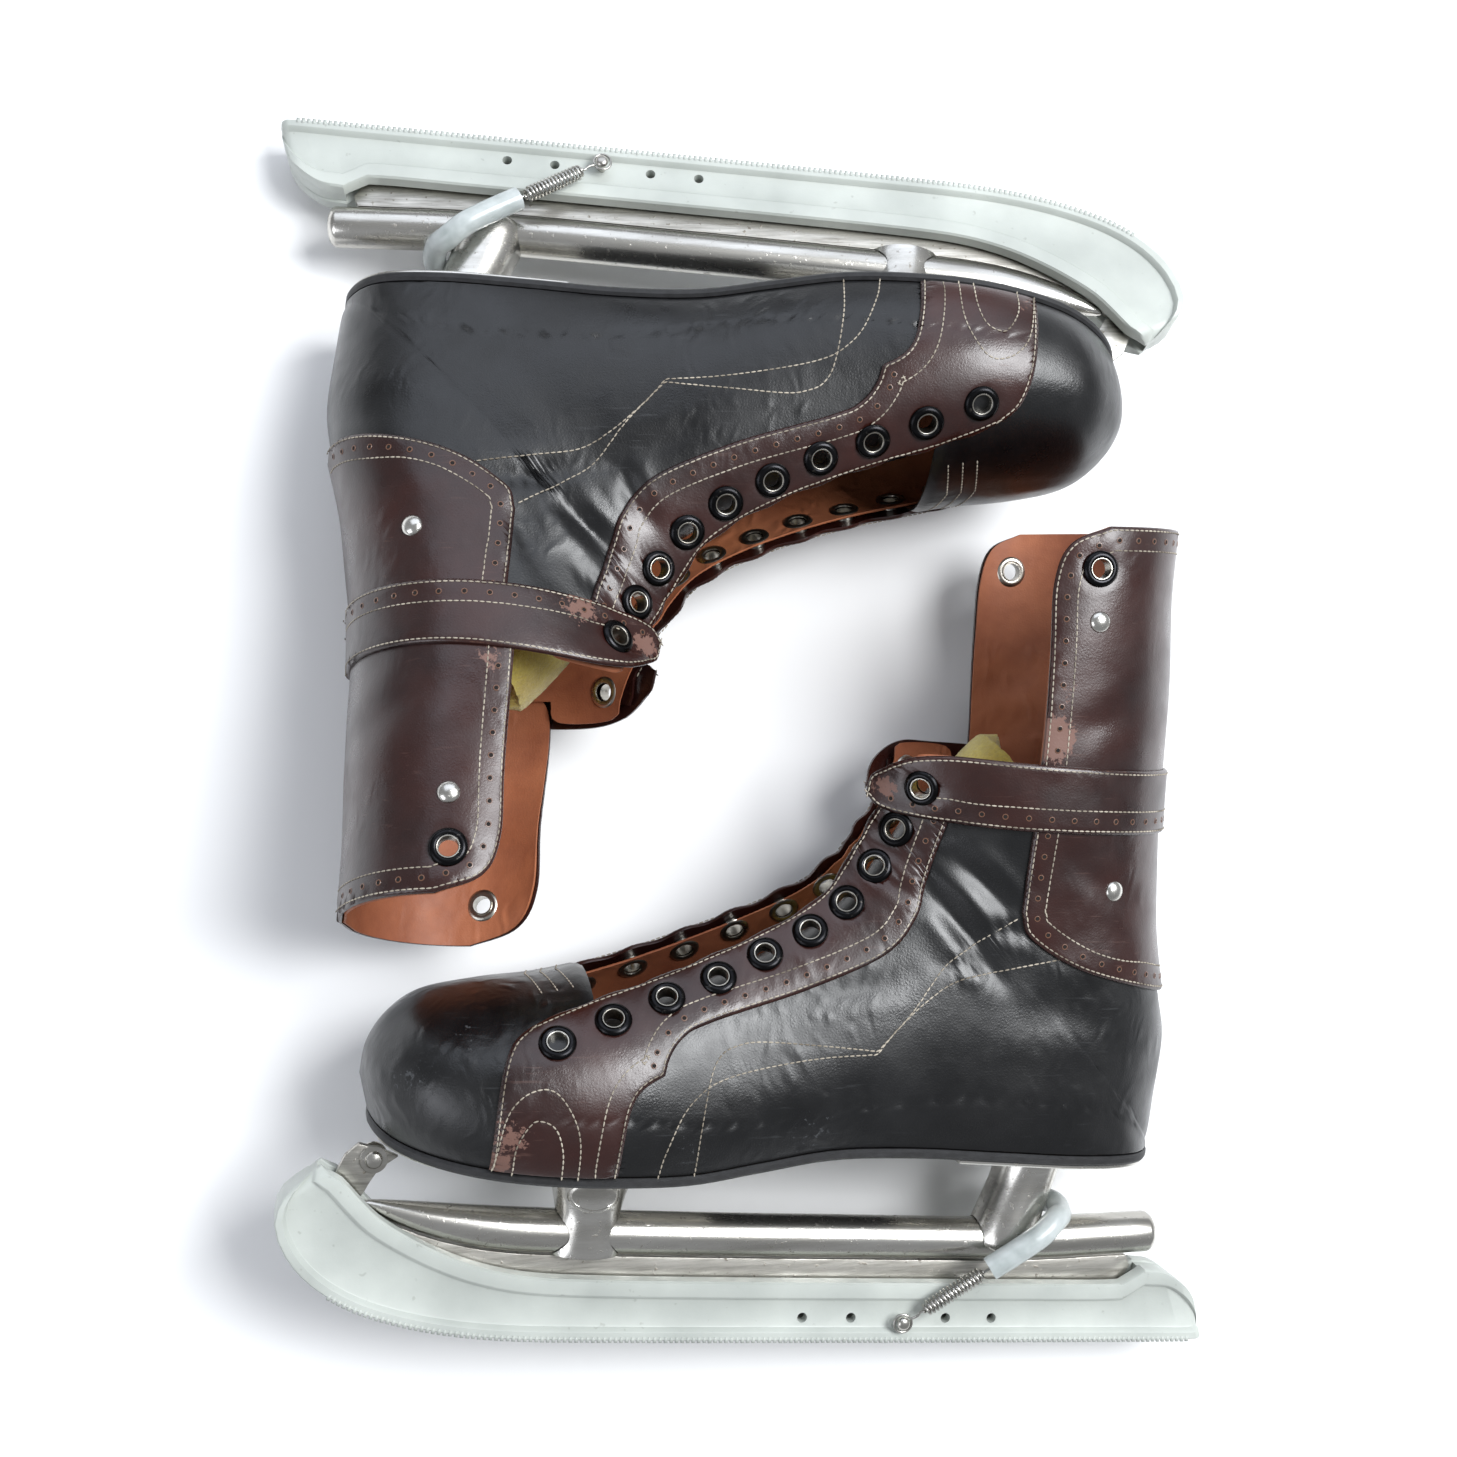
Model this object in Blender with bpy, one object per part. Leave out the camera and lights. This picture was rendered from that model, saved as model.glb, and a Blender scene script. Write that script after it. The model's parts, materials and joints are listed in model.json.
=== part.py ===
"""A pair of leather tube hockey skates with blade guards, lying on their sides head to tail.

Each skate is modelled upright in its own frame, in millimetres: x runs from heel to toe, y to the
wearer's left, z up from the blade. Its empty then lays it down. Blender's units are metres, +Z up.
"""

import math

import bpy
import numpy as np
from mathutils import Matrix, Vector, geometry

MM = 0.001
GAP = 0.3  # clearance between pieces that touch

# How each skate lies: place of its frame's origin, turn about Z, roll about X and pitch about Y.
LAID = {
    "left": {"at": (153.88, -213.75, 22.77), "turn": -3.3, "roll": 9.2, "pitch": 4.4, "toe": -1},
    "right": {"at": (-153.92, 213.25, 14.05), "turn": -4.3, "roll": -11.9, "pitch": -4.4, "toe": 1},
}

# Layers of the upper, as distances from the outer face of the black leather.
LINING = (-4.8, -3.8)
CUFF_LINING = (-2.3, -1.2)
BLACK = (-1.3, 0.0)
STAY = (0.7, 1.2)
BROWN = (2.6, 3.8)
STRAP = (5.4, 6.7)

# The boot's form, toe to cuff: lower or back end of a section, its upper or front end, half width
# at the lower end, widest half width, how far up that is, and the sideways shift to the big toe.
FORM = [
    ((290.0, 71.5), (293.0, 82.0), 0.0, 0.0, 0.45, 4.0),
    ((287.0, 69.0), (291.7, 92.0), 13.0, 15.5, 0.42, 4.0),
    ((280.0, 66.3), (285.5, 102.0), 23.0, 27.0, 0.38, 4.0),
    ((268.0, 64.2), (275.0, 109.5), 32.0, 37.0, 0.36, 4.0),
    ((252.0, 63.0), (256.0, 114.5), 38.5, 43.5, 0.34, 3.5),
    ((232.0, 62.4), (236.0, 118.0), 42.0, 46.5, 0.32, 3.5),
    ((210.0, 62.4), (216.0, 124.0), 42.0, 46.5, 0.30, 3.5),
    ((188.0, 63.0), (197.0, 132.0), 39.5, 44.5, 0.30, 3.5),
    ((165.0, 66.4), (181.0, 140.5), 36.0, 42.0, 0.30, 3.5),
    ((140.0, 70.4), (168.0, 148.0), 33.0, 40.0, 0.32, 3.0),
    ((112.0, 71.8), (158.0, 155.0), 32.5, 38.5, 0.34, 2.0),
    ((82.0, 71.6), (151.0, 162.0), 33.0, 37.5, 0.36, 1.0),
    ((54.0, 71.2), (146.0, 169.0), 32.5, 37.0, 0.36, 0.0),
    ((32.0, 70.6), (143.0, 176.0), 26.5, 37.0, 0.36, 0.0),
    ((21.0, 70.2), (141.0, 182.0), 14.0, 37.0, 0.37, 0.0),
    ((17.5, 71.0), (139.5, 187.0), 0.0, 37.0, 0.38, 0.0),
    ((16.5, 88.0), (138.5, 191.5), 0.0, 37.5, 0.38, 0.0),
    ((16.5, 108.0), (138.0, 195.5), 0.0, 38.0, 0.38, 0.0),
    ((20.0, 124.0), (138.0, 199.0), 0.0, 38.5, 0.38, 0.0),
    ((24.5, 143.0), (139.0, 203.0), 0.0, 39.0, 0.39, 0.0),
    ((27.5, 163.0), (140.0, 206.5), 0.0, 40.0, 0.40, 0.0),
    ((29.5, 183.0), (140.0, 211.0), 0.0, 41.0, 0.42, 0.0),
    ((31.0, 202.0), (134.0, 219.0), 0.0, 42.0, 0.45, 0.0),
    ((32.5, 220.0), (123.0, 231.0), 0.0, 42.5, 0.48, 0.0),
    ((34.0, 240.0), (114.0, 246.0), 0.0, 43.0, 0.50, 0.0),
    ((35.5, 262.0), (111.0, 265.0), 0.0, 43.0, 0.50, 0.0),
    ((36.0, 288.0), (110.0, 288.0), 0.0, 43.0, 0.50, 0.0),
]
HEEL_CORNER = 15  # the section where the sole ends and the back of the heel begins
DOME = 1.9  # roundness of the upper half of a section, 2 being an ellipse
SECTION_SPAN = 9.0  # paper width of one section step, for laying panels out flat
ROUND_SPAN = 95.0  # paper height of half a section

# How far forward the two cuff flaps reach, as a factor, and how far the back of the cuff leans in.
CUFF_REACH = {"left": {1: 1.0, -1: 0.90}, "right": {1: 1.07, -1: 1.27}}
CUFF_LEAN = {"left": -2.0, "right": 6.0}

# How far the throat's edge is pulled back at the ankle: the left skate's inner side is drawn in.
THROAT_PULL = {"left": {1: 0.0, -1: 13.0}, "right": {1: 0.0, -1: 0.0}}

# Outlines seen from the side, in the skate's frame. "sole" and "back" stand for the rim there.
FACING_FRONT = [(253.0, "sole"), (253.0, 80.0), (252.0, 93.0), (249.0, 101.5), (243.0, 106.5)]
THROAT = [(243.0, 106.5), (225.0, 113.5), (205.0, 121.0), (185.0, 130.0), (165.0, 140.5),
          (150.0, 151.0), (142.0, 162.0), (136.0, 174.0), (130.0, 187.0), (127.0, 196.0)]
FACING_FOOT = [(201.5, 95.5), (208.0, 91.5), (211.5, 86.0), (213.0, 76.0), (213.5, "sole")]
FACING_LOWER = [(110.0, 196.0), (111.5, 184.0), (117.0, 160.0), (120.0, 148.0), (130.0, 135.5),
                (155.0, 123.2), (187.0, 111.5), (195.5, 107.0), (200.0, 101.0), (201.5, 95.5)]
COUNTER = [("back", 125.0), (40.0, 129.5), (65.0, 135.5), (82.0, 144.5), (86.0, 153.0)]
STRAP_LOWER = [("back", 181.0), (60.0, 181.0), (100.0, 180.5), (128.0, 181.5), (134.5, 186.0)]
STRAP_UPPER = [(134.5, 186.0), (132.0, 195.0), (121.0, 202.0), (90.0, 202.5), ("back", 202.5)]
CUFF_FRONT = [(86.5, 197.5), (87.5, 240.0), (88.0, 262.0), (84.0, 274.5), (72.0, 281.0)]
CUFF_TOP = [(72.0, 281.0), (55.0, 282.5), ("back", 284.0)]
EYELETS = [(235.3, 102.6), (217.7, 109.7), (200.5, 116.8), (183.8, 124.0), (168.5, 132.2),
           (153.7, 140.6), (141.8, 150.5), (133.0, 163.0), (126.7, 176.0)]
CUFF_EYELET = (74.5, 267.0)
CUFF_STUD = (73.0, 250.0)

EYELET = {"bore": 3.1, "barrel": 3.5, "flange": 6.1, "thick": 0.8, "sides": 7}
BIG_EYELET = {"bore": 4.0, "barrel": 4.7, "flange": 7.2, "thick": 0.8, "sides": 10}

SOLE_THICK = 4.0
PLATE_THICK = 1.5
TUBE_RADIUS = 7.2
TUBE_LINE = [(11.0, 34.5), (30.0, 33.2), (52.0, 31.8), (80.0, 31.3), (200.0, 31.5), (240.0, 32.3)]
TUBE_NOSE = [(262.0, 34.6, 5.8), (276.0, 37.2, 3.9), (286.5, 39.6, 1.8)]
BLADE_THICK = 3.2
SPRING_RISE = (-0.8, 0.6)  # direction of the guard's springs, seen from the side

COLOURS = {
    "black_leather": ((0.012, 0.012, 0.014), 0.32, 0.0),
    "brown_leather": ((0.060, 0.022, 0.018), 0.34, 0.0),
    "tan_leather": ((0.330, 0.105, 0.040), 0.60, 0.0),
    "felt": ((0.520, 0.420, 0.070), 0.95, 0.0),
    "black_rubber": ((0.015, 0.015, 0.017), 0.60, 0.0),
    "board": ((0.280, 0.160, 0.080), 0.85, 0.0),
    "nickel": ((0.620, 0.610, 0.580), 0.25, 1.0),
    "dark_nickel": ((0.060, 0.060, 0.065), 0.22, 1.0),
    "steel": ((0.420, 0.410, 0.390), 0.32, 1.0),
    "white_plastic": ((0.720, 0.780, 0.740), 0.45, 0.0),
    "hose": ((0.480, 0.520, 0.510), 0.40, 0.0),
}


def clear_scene():
    for item in list(bpy.data.objects):
        bpy.data.objects.remove(item)


def material(name):
    found = bpy.data.materials.get(name)
    if found:
        return found
    colour, roughness, metallic = COLOURS[name]
    made = bpy.data.materials.new(name)
    made.use_nodes = True
    shader = made.node_tree.nodes["Principled BSDF"]
    shader.inputs["Base Color"].default_value = (*colour, 1.0)
    shader.inputs["Roughness"].default_value = roughness
    shader.inputs["Metallic"].default_value = metallic
    made.diffuse_color = (*colour, 1.0)
    return made


# ---- curves -------------------------------------------------------------------------------------


def spline(points, step):
    """Points about a step apart on a smooth curve through the given ones."""
    points = np.array(points, float)
    if len(points) < 3:
        count = max(1, round(float(np.linalg.norm(points[1] - points[0])) / step))
        return [points[0] + (points[1] - points[0]) * k / count for k in range(count + 1)]
    ends = np.vstack([2 * points[0] - points[1], points, 2 * points[-1] - points[-2]])
    found = [points[0]]
    for a, b, c, d in zip(ends, ends[1:], ends[2:], ends[3:]):
        count = max(1, round(float(np.linalg.norm(c - b)) / step))
        for k in range(1, count + 1):
            t = k / count
            found.append(
                0.5 * (2 * b + (c - a) * t + (2 * a - 5 * b + 4 * c - d) * t * t
                       + (3 * b - a - 3 * c + d) * t ** 3)
            )
    return found


# ---- the boot's form ----------------------------------------------------------------------------


class Boot:
    """The outer face of the black leather, as sections numbered along the boot.

    A place on it is (section, height, side): height 0 is the sole's edge or the middle of the
    back, 1 the middle of the top, and side is 1 on the wearer's left and -1 on the right.
    """

    def __init__(self, foot):
        self.foot = foot
        self.outward = 1 if foot == "left" else -1
        lean = CUFF_LEAN[foot]
        rows = []
        for (bx, bz), (fx, fz), sole, wide, at, shift in FORM:
            bx += lean * min(1.0, max(0.0, (bz - 125.0) / 70.0))
            rows.append([bx, bz, fx, fz, sole, wide, at, -shift * self.outward])
        rows = np.array(rows)
        before = rows[1].copy()
        before[4:6] *= -1
        self.rows = np.vstack([before, rows, 2 * rows[-1] - rows[-2]])
        self.last = len(FORM) - 1
        self.tried = np.linspace(0, self.last, 1301)
        self.found = np.array([self.section(u) for u in self.tried])

    def section(self, u):
        u = min(max(u, 0.0), self.last - 1e-6)
        k = int(u)
        t = u - k
        a, b, c, d = self.rows[k : k + 4]
        row = 0.5 * (2 * b + (c - a) * t + (2 * a - 5 * b + 4 * c - d) * t * t
                     + (3 * b - a - 3 * c + d) * t ** 3)
        row[4] = max(row[4], 0.0) if u < HEEL_CORNER else 0.0
        return row

    def bare(self, u, height, side):
        bx, bz, fx, fz, sole, wide, at, shift = self.section(u)
        h = min(max(height, 0.0), 1.0)
        s = (1 - math.cos(math.pi * h)) / 2
        if s < at:
            rise = 1 - (1 - s / at) ** 2
            half = math.sqrt(sole ** 2 + max(wide ** 2 - sole ** 2, 0.0) * rise)
        else:
            half = wide * max(0.0, 1 - ((s - at) / (1 - at)) ** DOME) ** (1 / DOME)
        return np.array([bx + (fx - bx) * s, shift + side * half, bz + (fz - bz) * s])

    def normal(self, u, height, side):
        row = self.section(u)
        chord = np.array([row[2] - row[0], 0.0, row[3] - row[1]])
        chord /= np.linalg.norm(chord)
        ahead = np.array([chord[2], 0.0, -chord[0]])  # away from the middle, toward toe or floor
        if u < 0.02:
            return ahead
        e = 0.02
        lo, hi = max(height - e, 0.0), min(height + e, 1.0)
        along = self.bare(u + 0.15, height, side) - self.bare(max(u - 0.15, 0.01), height, side)
        if height > 1 - 1e-6:
            return self.top_normal(u)
        if height < 1e-6 and u > HEEL_CORNER:
            return self.back_normal(u)
        across = self.bare(u, hi, side) - self.bare(u, lo, side)
        out = np.cross(along, across) * side
        out /= np.linalg.norm(out)
        if u < HEEL_CORNER:  # at the sole's edge the layers stand side by side
            flat = max(0.0, 1 - height / 0.25) * min(1.0, row[4] / 10.0)
            out = out - chord * float(out @ chord) * flat
            out /= np.linalg.norm(out)
        return out

    def top_normal(self, u):
        step = self.section(u + 0.2)[2:4] - self.section(max(u - 0.2, 0.0))[2:4]
        out = np.array([-step[1], 0.0, step[0]])
        out /= np.linalg.norm(out)
        return out if out[0] * 0.3 + out[2] > 0 or u > HEEL_CORNER and out[0] > 0 else -out

    def back_normal(self, u):
        step = self.section(u + 0.2)[0:2] - self.section(max(u - 0.2, HEEL_CORNER))[0:2]
        out = np.array([-step[1], 0.0, step[0]])
        out /= np.linalg.norm(out)
        return out if out[0] < 0 else -out

    def at(self, u, height, side, lift):
        return self.bare(u, height, side) + lift * self.normal(u, height, side)

    def back_x(self, z):
        rows = self.found[self.tried >= HEEL_CORNER]
        return float(np.interp(z, rows[:, 1], rows[:, 0]))

    def sole_z(self, x):
        rows = self.found[self.tried <= HEEL_CORNER][::-1]
        return float(np.interp(x, rows[:, 0], rows[:, 1]))

    def sole_half(self, x):
        rows = self.found[self.tried <= HEEL_CORNER][::-1]
        return float(np.interp(x, rows[:, 0], rows[:, 4]))

    def shift(self, x):
        rows = self.found[self.tried <= HEEL_CORNER][::-1]
        return float(np.interp(x, rows[:, 0], rows[:, 7]))

    def find(self, x, z):
        """(section, height) of the point that lies at x, z when seen from the side."""
        rows = self.found
        dx, dz = rows[:, 2] - rows[:, 0], rows[:, 3] - rows[:, 1]
        off = dx * (z - rows[:, 1]) - dz * (x - rows[:, 0])
        size = dx ** 2 + dz ** 2
        s = (dx * (x - rows[:, 0]) + dz * (z - rows[:, 1])) / size
        miss = np.abs(off) / np.sqrt(size) + 50 * np.maximum(0, -s - 0.02) + 50 * np.maximum(0, s - 1.02)
        k = int(np.argmin(miss))
        u = self.tried[k]
        if 0 < k < len(rows) - 1:
            a, b = off[k - 1], off[k + 1]
            if a != b:
                u = float(np.clip(self.tried[k - 1] + (self.tried[k + 1] - self.tried[k - 1]) * a / (a - b),
                                  self.tried[k - 1], self.tried[k + 1]))
        s = min(max(float(s[k]), 0.0), 1.0)
        return u, math.acos(1 - 2 * s) / math.pi


def on_paper(u, height, side):
    """Where a place on the boot lies on the flat sheet that panels are cut from."""
    notch = 6.0 * max(0.0, HEEL_CORNER - u)
    return Vector((u * SECTION_SPAN, side * (height * ROUND_SPAN + notch)))


def off_paper(point):
    u = point.x / SECTION_SPAN
    side = 1 if point.y >= 0 else -1
    notch = 6.0 * max(0.0, HEEL_CORNER - u)
    return u, (abs(point.y) - notch) / ROUND_SPAN, side


def pulled(point, pull):
    """A side-view point near the throat, drawn back toward the heel the higher it lies."""
    if isinstance(point[0], str) or isinstance(point[1], str) or point[0] < 100.0:
        return point
    share = min(1.0, max(0.0, (point[1] - 120.0) / 60.0))
    return (point[0] - pull * share, point[1])


def path(boot, runs, step, reach=1.0, pull=0.0):
    """Places (section, height) along smooth runs of side-view points that meet in corners."""
    runs = [[pulled(point, pull) for point in run] for run in runs]
    found = []
    for run in runs:
        points = []
        for x, z in run:
            if x == "back":
                points.append((boot.back_x(z), z))
            elif z == "sole":
                points.append((x, boot.sole_z(x)))
            else:
                start = boot.back_x(z)
                points.append((start + (x - start) * reach, z))
        curve = spline(points, step)
        marks = [run[0]] + [(0, 0)] * (len(curve) - 2) + [run[-1]]
        for (x, z), (rx, rz) in zip(curve, marks):
            if rx == "back":
                u = float(np.interp(z, boot.found[boot.tried >= HEEL_CORNER][:, 1],
                                    boot.tried[boot.tried >= HEEL_CORNER]))
                place = (u, 0.0)
            elif rz == "sole":
                rows = boot.found[boot.tried <= HEEL_CORNER][::-1]
                place = (float(np.interp(x, rows[:, 0], boot.tried[boot.tried <= HEEL_CORNER][::-1])), 0.0)
            else:
                place = boot.find(x, z)
            if not found or abs(found[-1][0] - place[0]) + abs(found[-1][1] - place[1]) > 0.01:
                found.append(place)
    return found


def inside(point, ring):
    hit = False
    for a, b in zip(ring, ring[1:] + ring[:1]):
        if (a.y > point.y) != (b.y > point.y):
            if point.x < a.x + (point.y - a.y) * (b.x - a.x) / (b.y - a.y):
                hit = not hit
    return hit


def near(point, ring, least):
    for a, b in zip(ring, ring[1:] + ring[:1]):
        close, t = geometry.intersect_point_line(point, a, b)
        t = min(max(t, 0.0), 1.0)
        if (a + (b - a) * t - point).length < least:
            return True
    return False


def cut_sheet(ring, holes, grid):
    """Triangles of the flat sheet inside a ring and outside the holes: (points, faces, ring size)."""
    points = list(ring)
    edges = [(k, (k + 1) % len(ring)) for k in range(len(ring))]
    for hole in holes:
        first = len(points)
        points += hole
        edges += [(first + k, first + (k + 1) % len(hole)) for k in range(len(hole))]
    loops = [list(ring)] + [list(hole) for hole in holes]
    wide, tall = grid
    xs = [p.x for p in ring]
    ys = [p.y for p in ring]
    for i in range(math.floor(min(xs) / wide), math.ceil(max(xs) / wide) + 1):
        for j in range(math.floor(min(ys) / tall), math.ceil(max(ys) / tall) + 1):
            point = Vector((i * wide, j * tall))
            if inside(point, loops[0]) and not any(inside(point, hole) for hole in loops[1:]):
                if not any(near(point, loop, 0.45 * min(wide, tall)) for loop in loops):
                    points.append(point)
    verts, _, faces, origin, _, _ = geometry.delaunay_2d_cdt(points, edges, [], 0, 1e-6)
    if len(verts) != len(points):
        raise ValueError("the outline of a panel crosses itself")
    back = [source[0] for source in origin]
    kept = []
    for face in faces:
        middle = sum((verts[k] for k in face), Vector((0.0, 0.0))) / 3
        if inside(middle, loops[0]) and not any(inside(middle, hole) for hole in loops[1:]):
            kept.append([back[k] for k in face])
    return points, kept


def close_body(verts, faces):
    """Winds the triangles so that they face outward, and drops unused points."""
    used = sorted({k for face in faces for k in face})
    index = {old: new for new, old in enumerate(used)}
    verts = [Vector(verts[k]) for k in used]
    faces = [tuple(index[k] for k in face) for face in faces]
    volume = 0.0
    for face in faces:
        for k in range(1, len(face) - 1):
            volume += verts[face[0]].dot(verts[face[k]].cross(verts[face[k + 1]]))
    if volume < 0:
        faces = [face[::-1] for face in faces]
    return verts, faces


def add_body(name, frame, verts, faces, look):
    verts, faces = close_body(verts, faces)
    mesh = bpy.data.meshes.new(name)
    mesh.from_pydata([tuple(c * MM for c in v) for v in verts], [], [list(f) for f in faces])
    mesh.validate()
    mesh.shade_smooth()
    mesh.set_sharp_from_angle(angle=math.radians(35))
    made = bpy.data.objects.new(name, mesh)
    made.data.materials.append(material(look))
    bpy.context.scene.collection.objects.link(made)
    made.parent = frame
    return made


def shell(boot, ring, holes, grid, layer):
    """A panel of even thickness on the boot, cut along a ring of places, with round holes."""
    flat = [on_paper(*place) for place in ring]
    points, faces = cut_sheet(flat, holes, grid)
    low, high = layer
    outer = [boot.at(*off_paper(p), high) for p in points]
    inner = [boot.at(*off_paper(p), low) for p in points]
    count = len(points)
    body = [list(face) for face in faces]
    body += [[count + k for k in face][::-1] for face in faces]
    # the rim joins every directed border edge of the outer face to the inner one
    seen = {}
    for face in faces:
        for a, b in zip(face, face[1:] + face[:1]):
            seen[(a, b)] = seen.get((a, b), 0) + 1
    for a, b in list(seen):
        if (b, a) not in seen:
            body.append([b, a, count + a])
            body.append([b, count + a, count + b])
    return outer + inner, body


def both_sides(places, other=None):
    """Closes a left-hand run that starts and ends on the back with its right-hand mirror."""
    other = other or places
    return [(u, h, 1) for u, h in places] + [(u, h, -1) for u, h in reversed(other[1:-1])]


def wrapped(boot, runs, step, sole_steps=0, rise=0.0):
    """The ring of a piece that goes round the heel, from its outline on one side.

    A piece that stands on the sole has steps along the sole's edge before the outline begins,
    and rise is how far above that edge it stops, as a height.
    """
    pull = THROAT_PULL[boot.foot]
    left, right = path(boot, runs, step, pull=pull[1]), path(boot, runs, step, pull=pull[-1])
    if sole_steps:
        heel = HEEL_CORNER + 22 * rise
        sole = [(heel, 0.0)] + [(float(u), rise) for u in np.linspace(heel, left[0][0], sole_steps)[1:-1]]
        left, right = sole + left, sole + right
    return both_sides(left, right)


def disc(boot, u, height, side, radius, sides):
    """A round hole on the flat sheet, true to size on the boot."""
    along, across = tangents(boot, u, height, side)
    eu, eh = 0.05, 0.01
    du = (boot.bare(u + eu, height, side) - boot.bare(u - eu, height, side)) / (2 * eu)
    dh = (boot.bare(u, height + eh, side) - boot.bare(u, height - eh, side)) / (2 * eh)
    metric = np.array([[du @ du, du @ dh], [du @ dh, dh @ dh]])
    found = []
    for k in range(sides):
        turn = 2 * math.pi * k / sides
        want = radius * (math.cos(turn) * along + math.sin(turn) * across)
        move = np.linalg.solve(metric, np.array([want @ du, want @ dh]))
        found.append(on_paper(u + move[0], height + move[1], side))
    return found


def tangents(boot, u, height, side):
    out = boot.normal(u, height, side)
    along = boot.bare(u + 0.05, height, side) - boot.bare(u - 0.05, height, side)
    along -= out * float(along @ out)
    along /= np.linalg.norm(along)
    return along, np.cross(out, along)


def ring_points(boot, place, radius, lift, sides):
    u, height, side = place
    out = boot.normal(u, height, side)
    along, across = tangents(boot, u, height, side)
    centre = boot.bare(u, height, side) + out * lift
    return [centre + radius * (math.cos(2 * math.pi * k / sides) * along
                               + math.sin(2 * math.pi * k / sides) * across) for k in range(sides)]


def washer(boot, place, size, low, high):
    """A ring that lies on the leather: its bore, its flange and its flat back."""
    sides = size["sides"]
    loops = [ring_points(boot, place, r, lift, sides) for r, lift in (
        (size["bore"], low), (size["bore"], high), (size["flange"], high), (size["flange"], low))]
    verts = [p for loop in loops for p in loop]
    faces = []
    for i in range(4):
        for k in range(sides):
            a, b = i * sides + k, i * sides + (k + 1) % sides
            c, d = (i + 1) % 4 * sides + (k + 1) % sides, (i + 1) % 4 * sides + k
            faces += [[a, b, c], [a, c, d]]
    return verts, faces


def eyelet_row(boot, side, spots):
    """Nine eyelets on a thin stay that runs under the facing, as one punched strip."""
    size = EYELET
    sides = size["sides"]
    places = [(*boot.find(x, z), side) for x, z in spots]
    line = spline(spots, 4.5)
    first_step, last_step = line[1] - line[0], line[-1] - line[-2]
    line.insert(0, line[0] - 5.4 * first_step / np.linalg.norm(first_step))
    line.append(line[-1] + 5.4 * last_step / np.linalg.norm(last_step))
    left, right = [], []
    for k, point in enumerate(line):
        ahead = line[min(k + 1, len(line) - 1)] - line[max(k - 1, 0)]
        across = np.array([-ahead[1], ahead[0]]) * 5.4 / np.linalg.norm(ahead)
        left.append(boot.find(*(point + across)))
        right.append(boot.find(*(point - across)))
    ring = right + left[::-1]
    ring = [(u, h, side) for u, h in ring]
    holes = [disc(boot, *place, size["barrel"], sides) for place in places]
    flat = [on_paper(*place) for place in ring]
    points, faces = cut_sheet(flat, holes, (60.0, 60.0))
    count = len(points)
    top = [boot.at(*off_paper(p), STAY[1]) for p in points]
    low = [boot.at(*off_paper(p), STAY[0]) for p in points]
    body = [list(face) for face in faces] + [[count + k for k in face][::-1] for face in faces]
    first = len(ring)
    for i, place in enumerate(places):
        rim = range(first + i * sides, first + (i + 1) * sides)
        for k, index in enumerate(rim):
            top[index] = ring_points(boot, place, size["barrel"], STAY[1], sides)[k]
            low[index] = ring_points(boot, place, size["bore"], STAY[0], sides)[k]
    verts = top + low
    seen = {(a, b) for face in faces for a, b in zip(face, face[1:] + face[:1])}
    for a, b in seen:
        if (b, a) not in seen and a < first:
            body += [[b, a, count + a], [b, count + a, count + b]]
    lid = BROWN[1] + 0.6
    for i, place in enumerate(places):
        loops = [[first + i * sides + k for k in range(sides)]]
        rings = ((size["barrel"], lid), (size["flange"], lid), (size["bore"], lid + size["thick"]))
        for radius, lift in rings:
            loops.append([len(verts) + k for k in range(sides)])
            verts += ring_points(boot, place, radius, lift, sides)
        loops.append([count + first + i * sides + k for k in range(sides)])
        a, b = loops[0][0], loops[0][1]
        forward = (a, b) in seen
        for lower, upper in zip(loops, loops[1:]):
            for k in range(sides):
                p, q = lower[k], lower[(k + 1) % sides]
                r, s = upper[(k + 1) % sides], upper[k]
                quad = [[q, p, s], [q, s, r]] if forward else [[p, q, r], [p, r, s]]
                body += quad
    return verts, body


def vamp(boot, layer):
    """The toe: one sheet over the top, from the sole's edge on one side to that on the other."""
    last = 5.4
    stations = [0.0, 0.35, 0.7, 1.1, 1.6, 2.1, 2.7, 3.3, 4.0, 4.7, last]
    heights = [k / 7 for k in range(8)]
    across = [(h, -1) for h in heights] + [(h, 1) for h in reversed(heights[:-1])]
    verts = []
    index = {}
    for lift in layer[::-1]:
        for i, u in enumerate(stations):
            for j, (h, side) in enumerate(across):
                if i == 0 and side == 1:
                    index[lift, i, j] = index[lift, i, len(across) - 1 - j]
                    continue
                index[lift, i, j] = len(verts)
                verts.append(boot.at(u, h, side, lift))
    faces = []
    low, high = layer
    count = len(across)
    for i in range(len(stations) - 1):
        for j in range(count - 1):
            for lift, flip in ((high, False), (low, True)):
                quad = [index[lift, i, j], index[lift, i + 1, j], index[lift, i + 1, j + 1], index[lift, i, j + 1]]
                quad = quad[::-1] if flip else quad
                faces += [quad[:3], [quad[0], quad[2], quad[3]]]
    rim = [(i, 0) for i in range(len(stations) - 1, -1, -1)] + [(i, count - 1) for i in range(1, len(stations))]
    rim += [(len(stations) - 1, j) for j in range(count - 2, -1, -1)]
    for (i, j), (m, n) in zip(rim, rim[1:]):
        a, b = index[high, i, j], index[high, m, n]
        c, d = index[low, i, j], index[low, m, n]
        faces += [[a, b, d], [a, d, c]]
    return verts, faces


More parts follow.
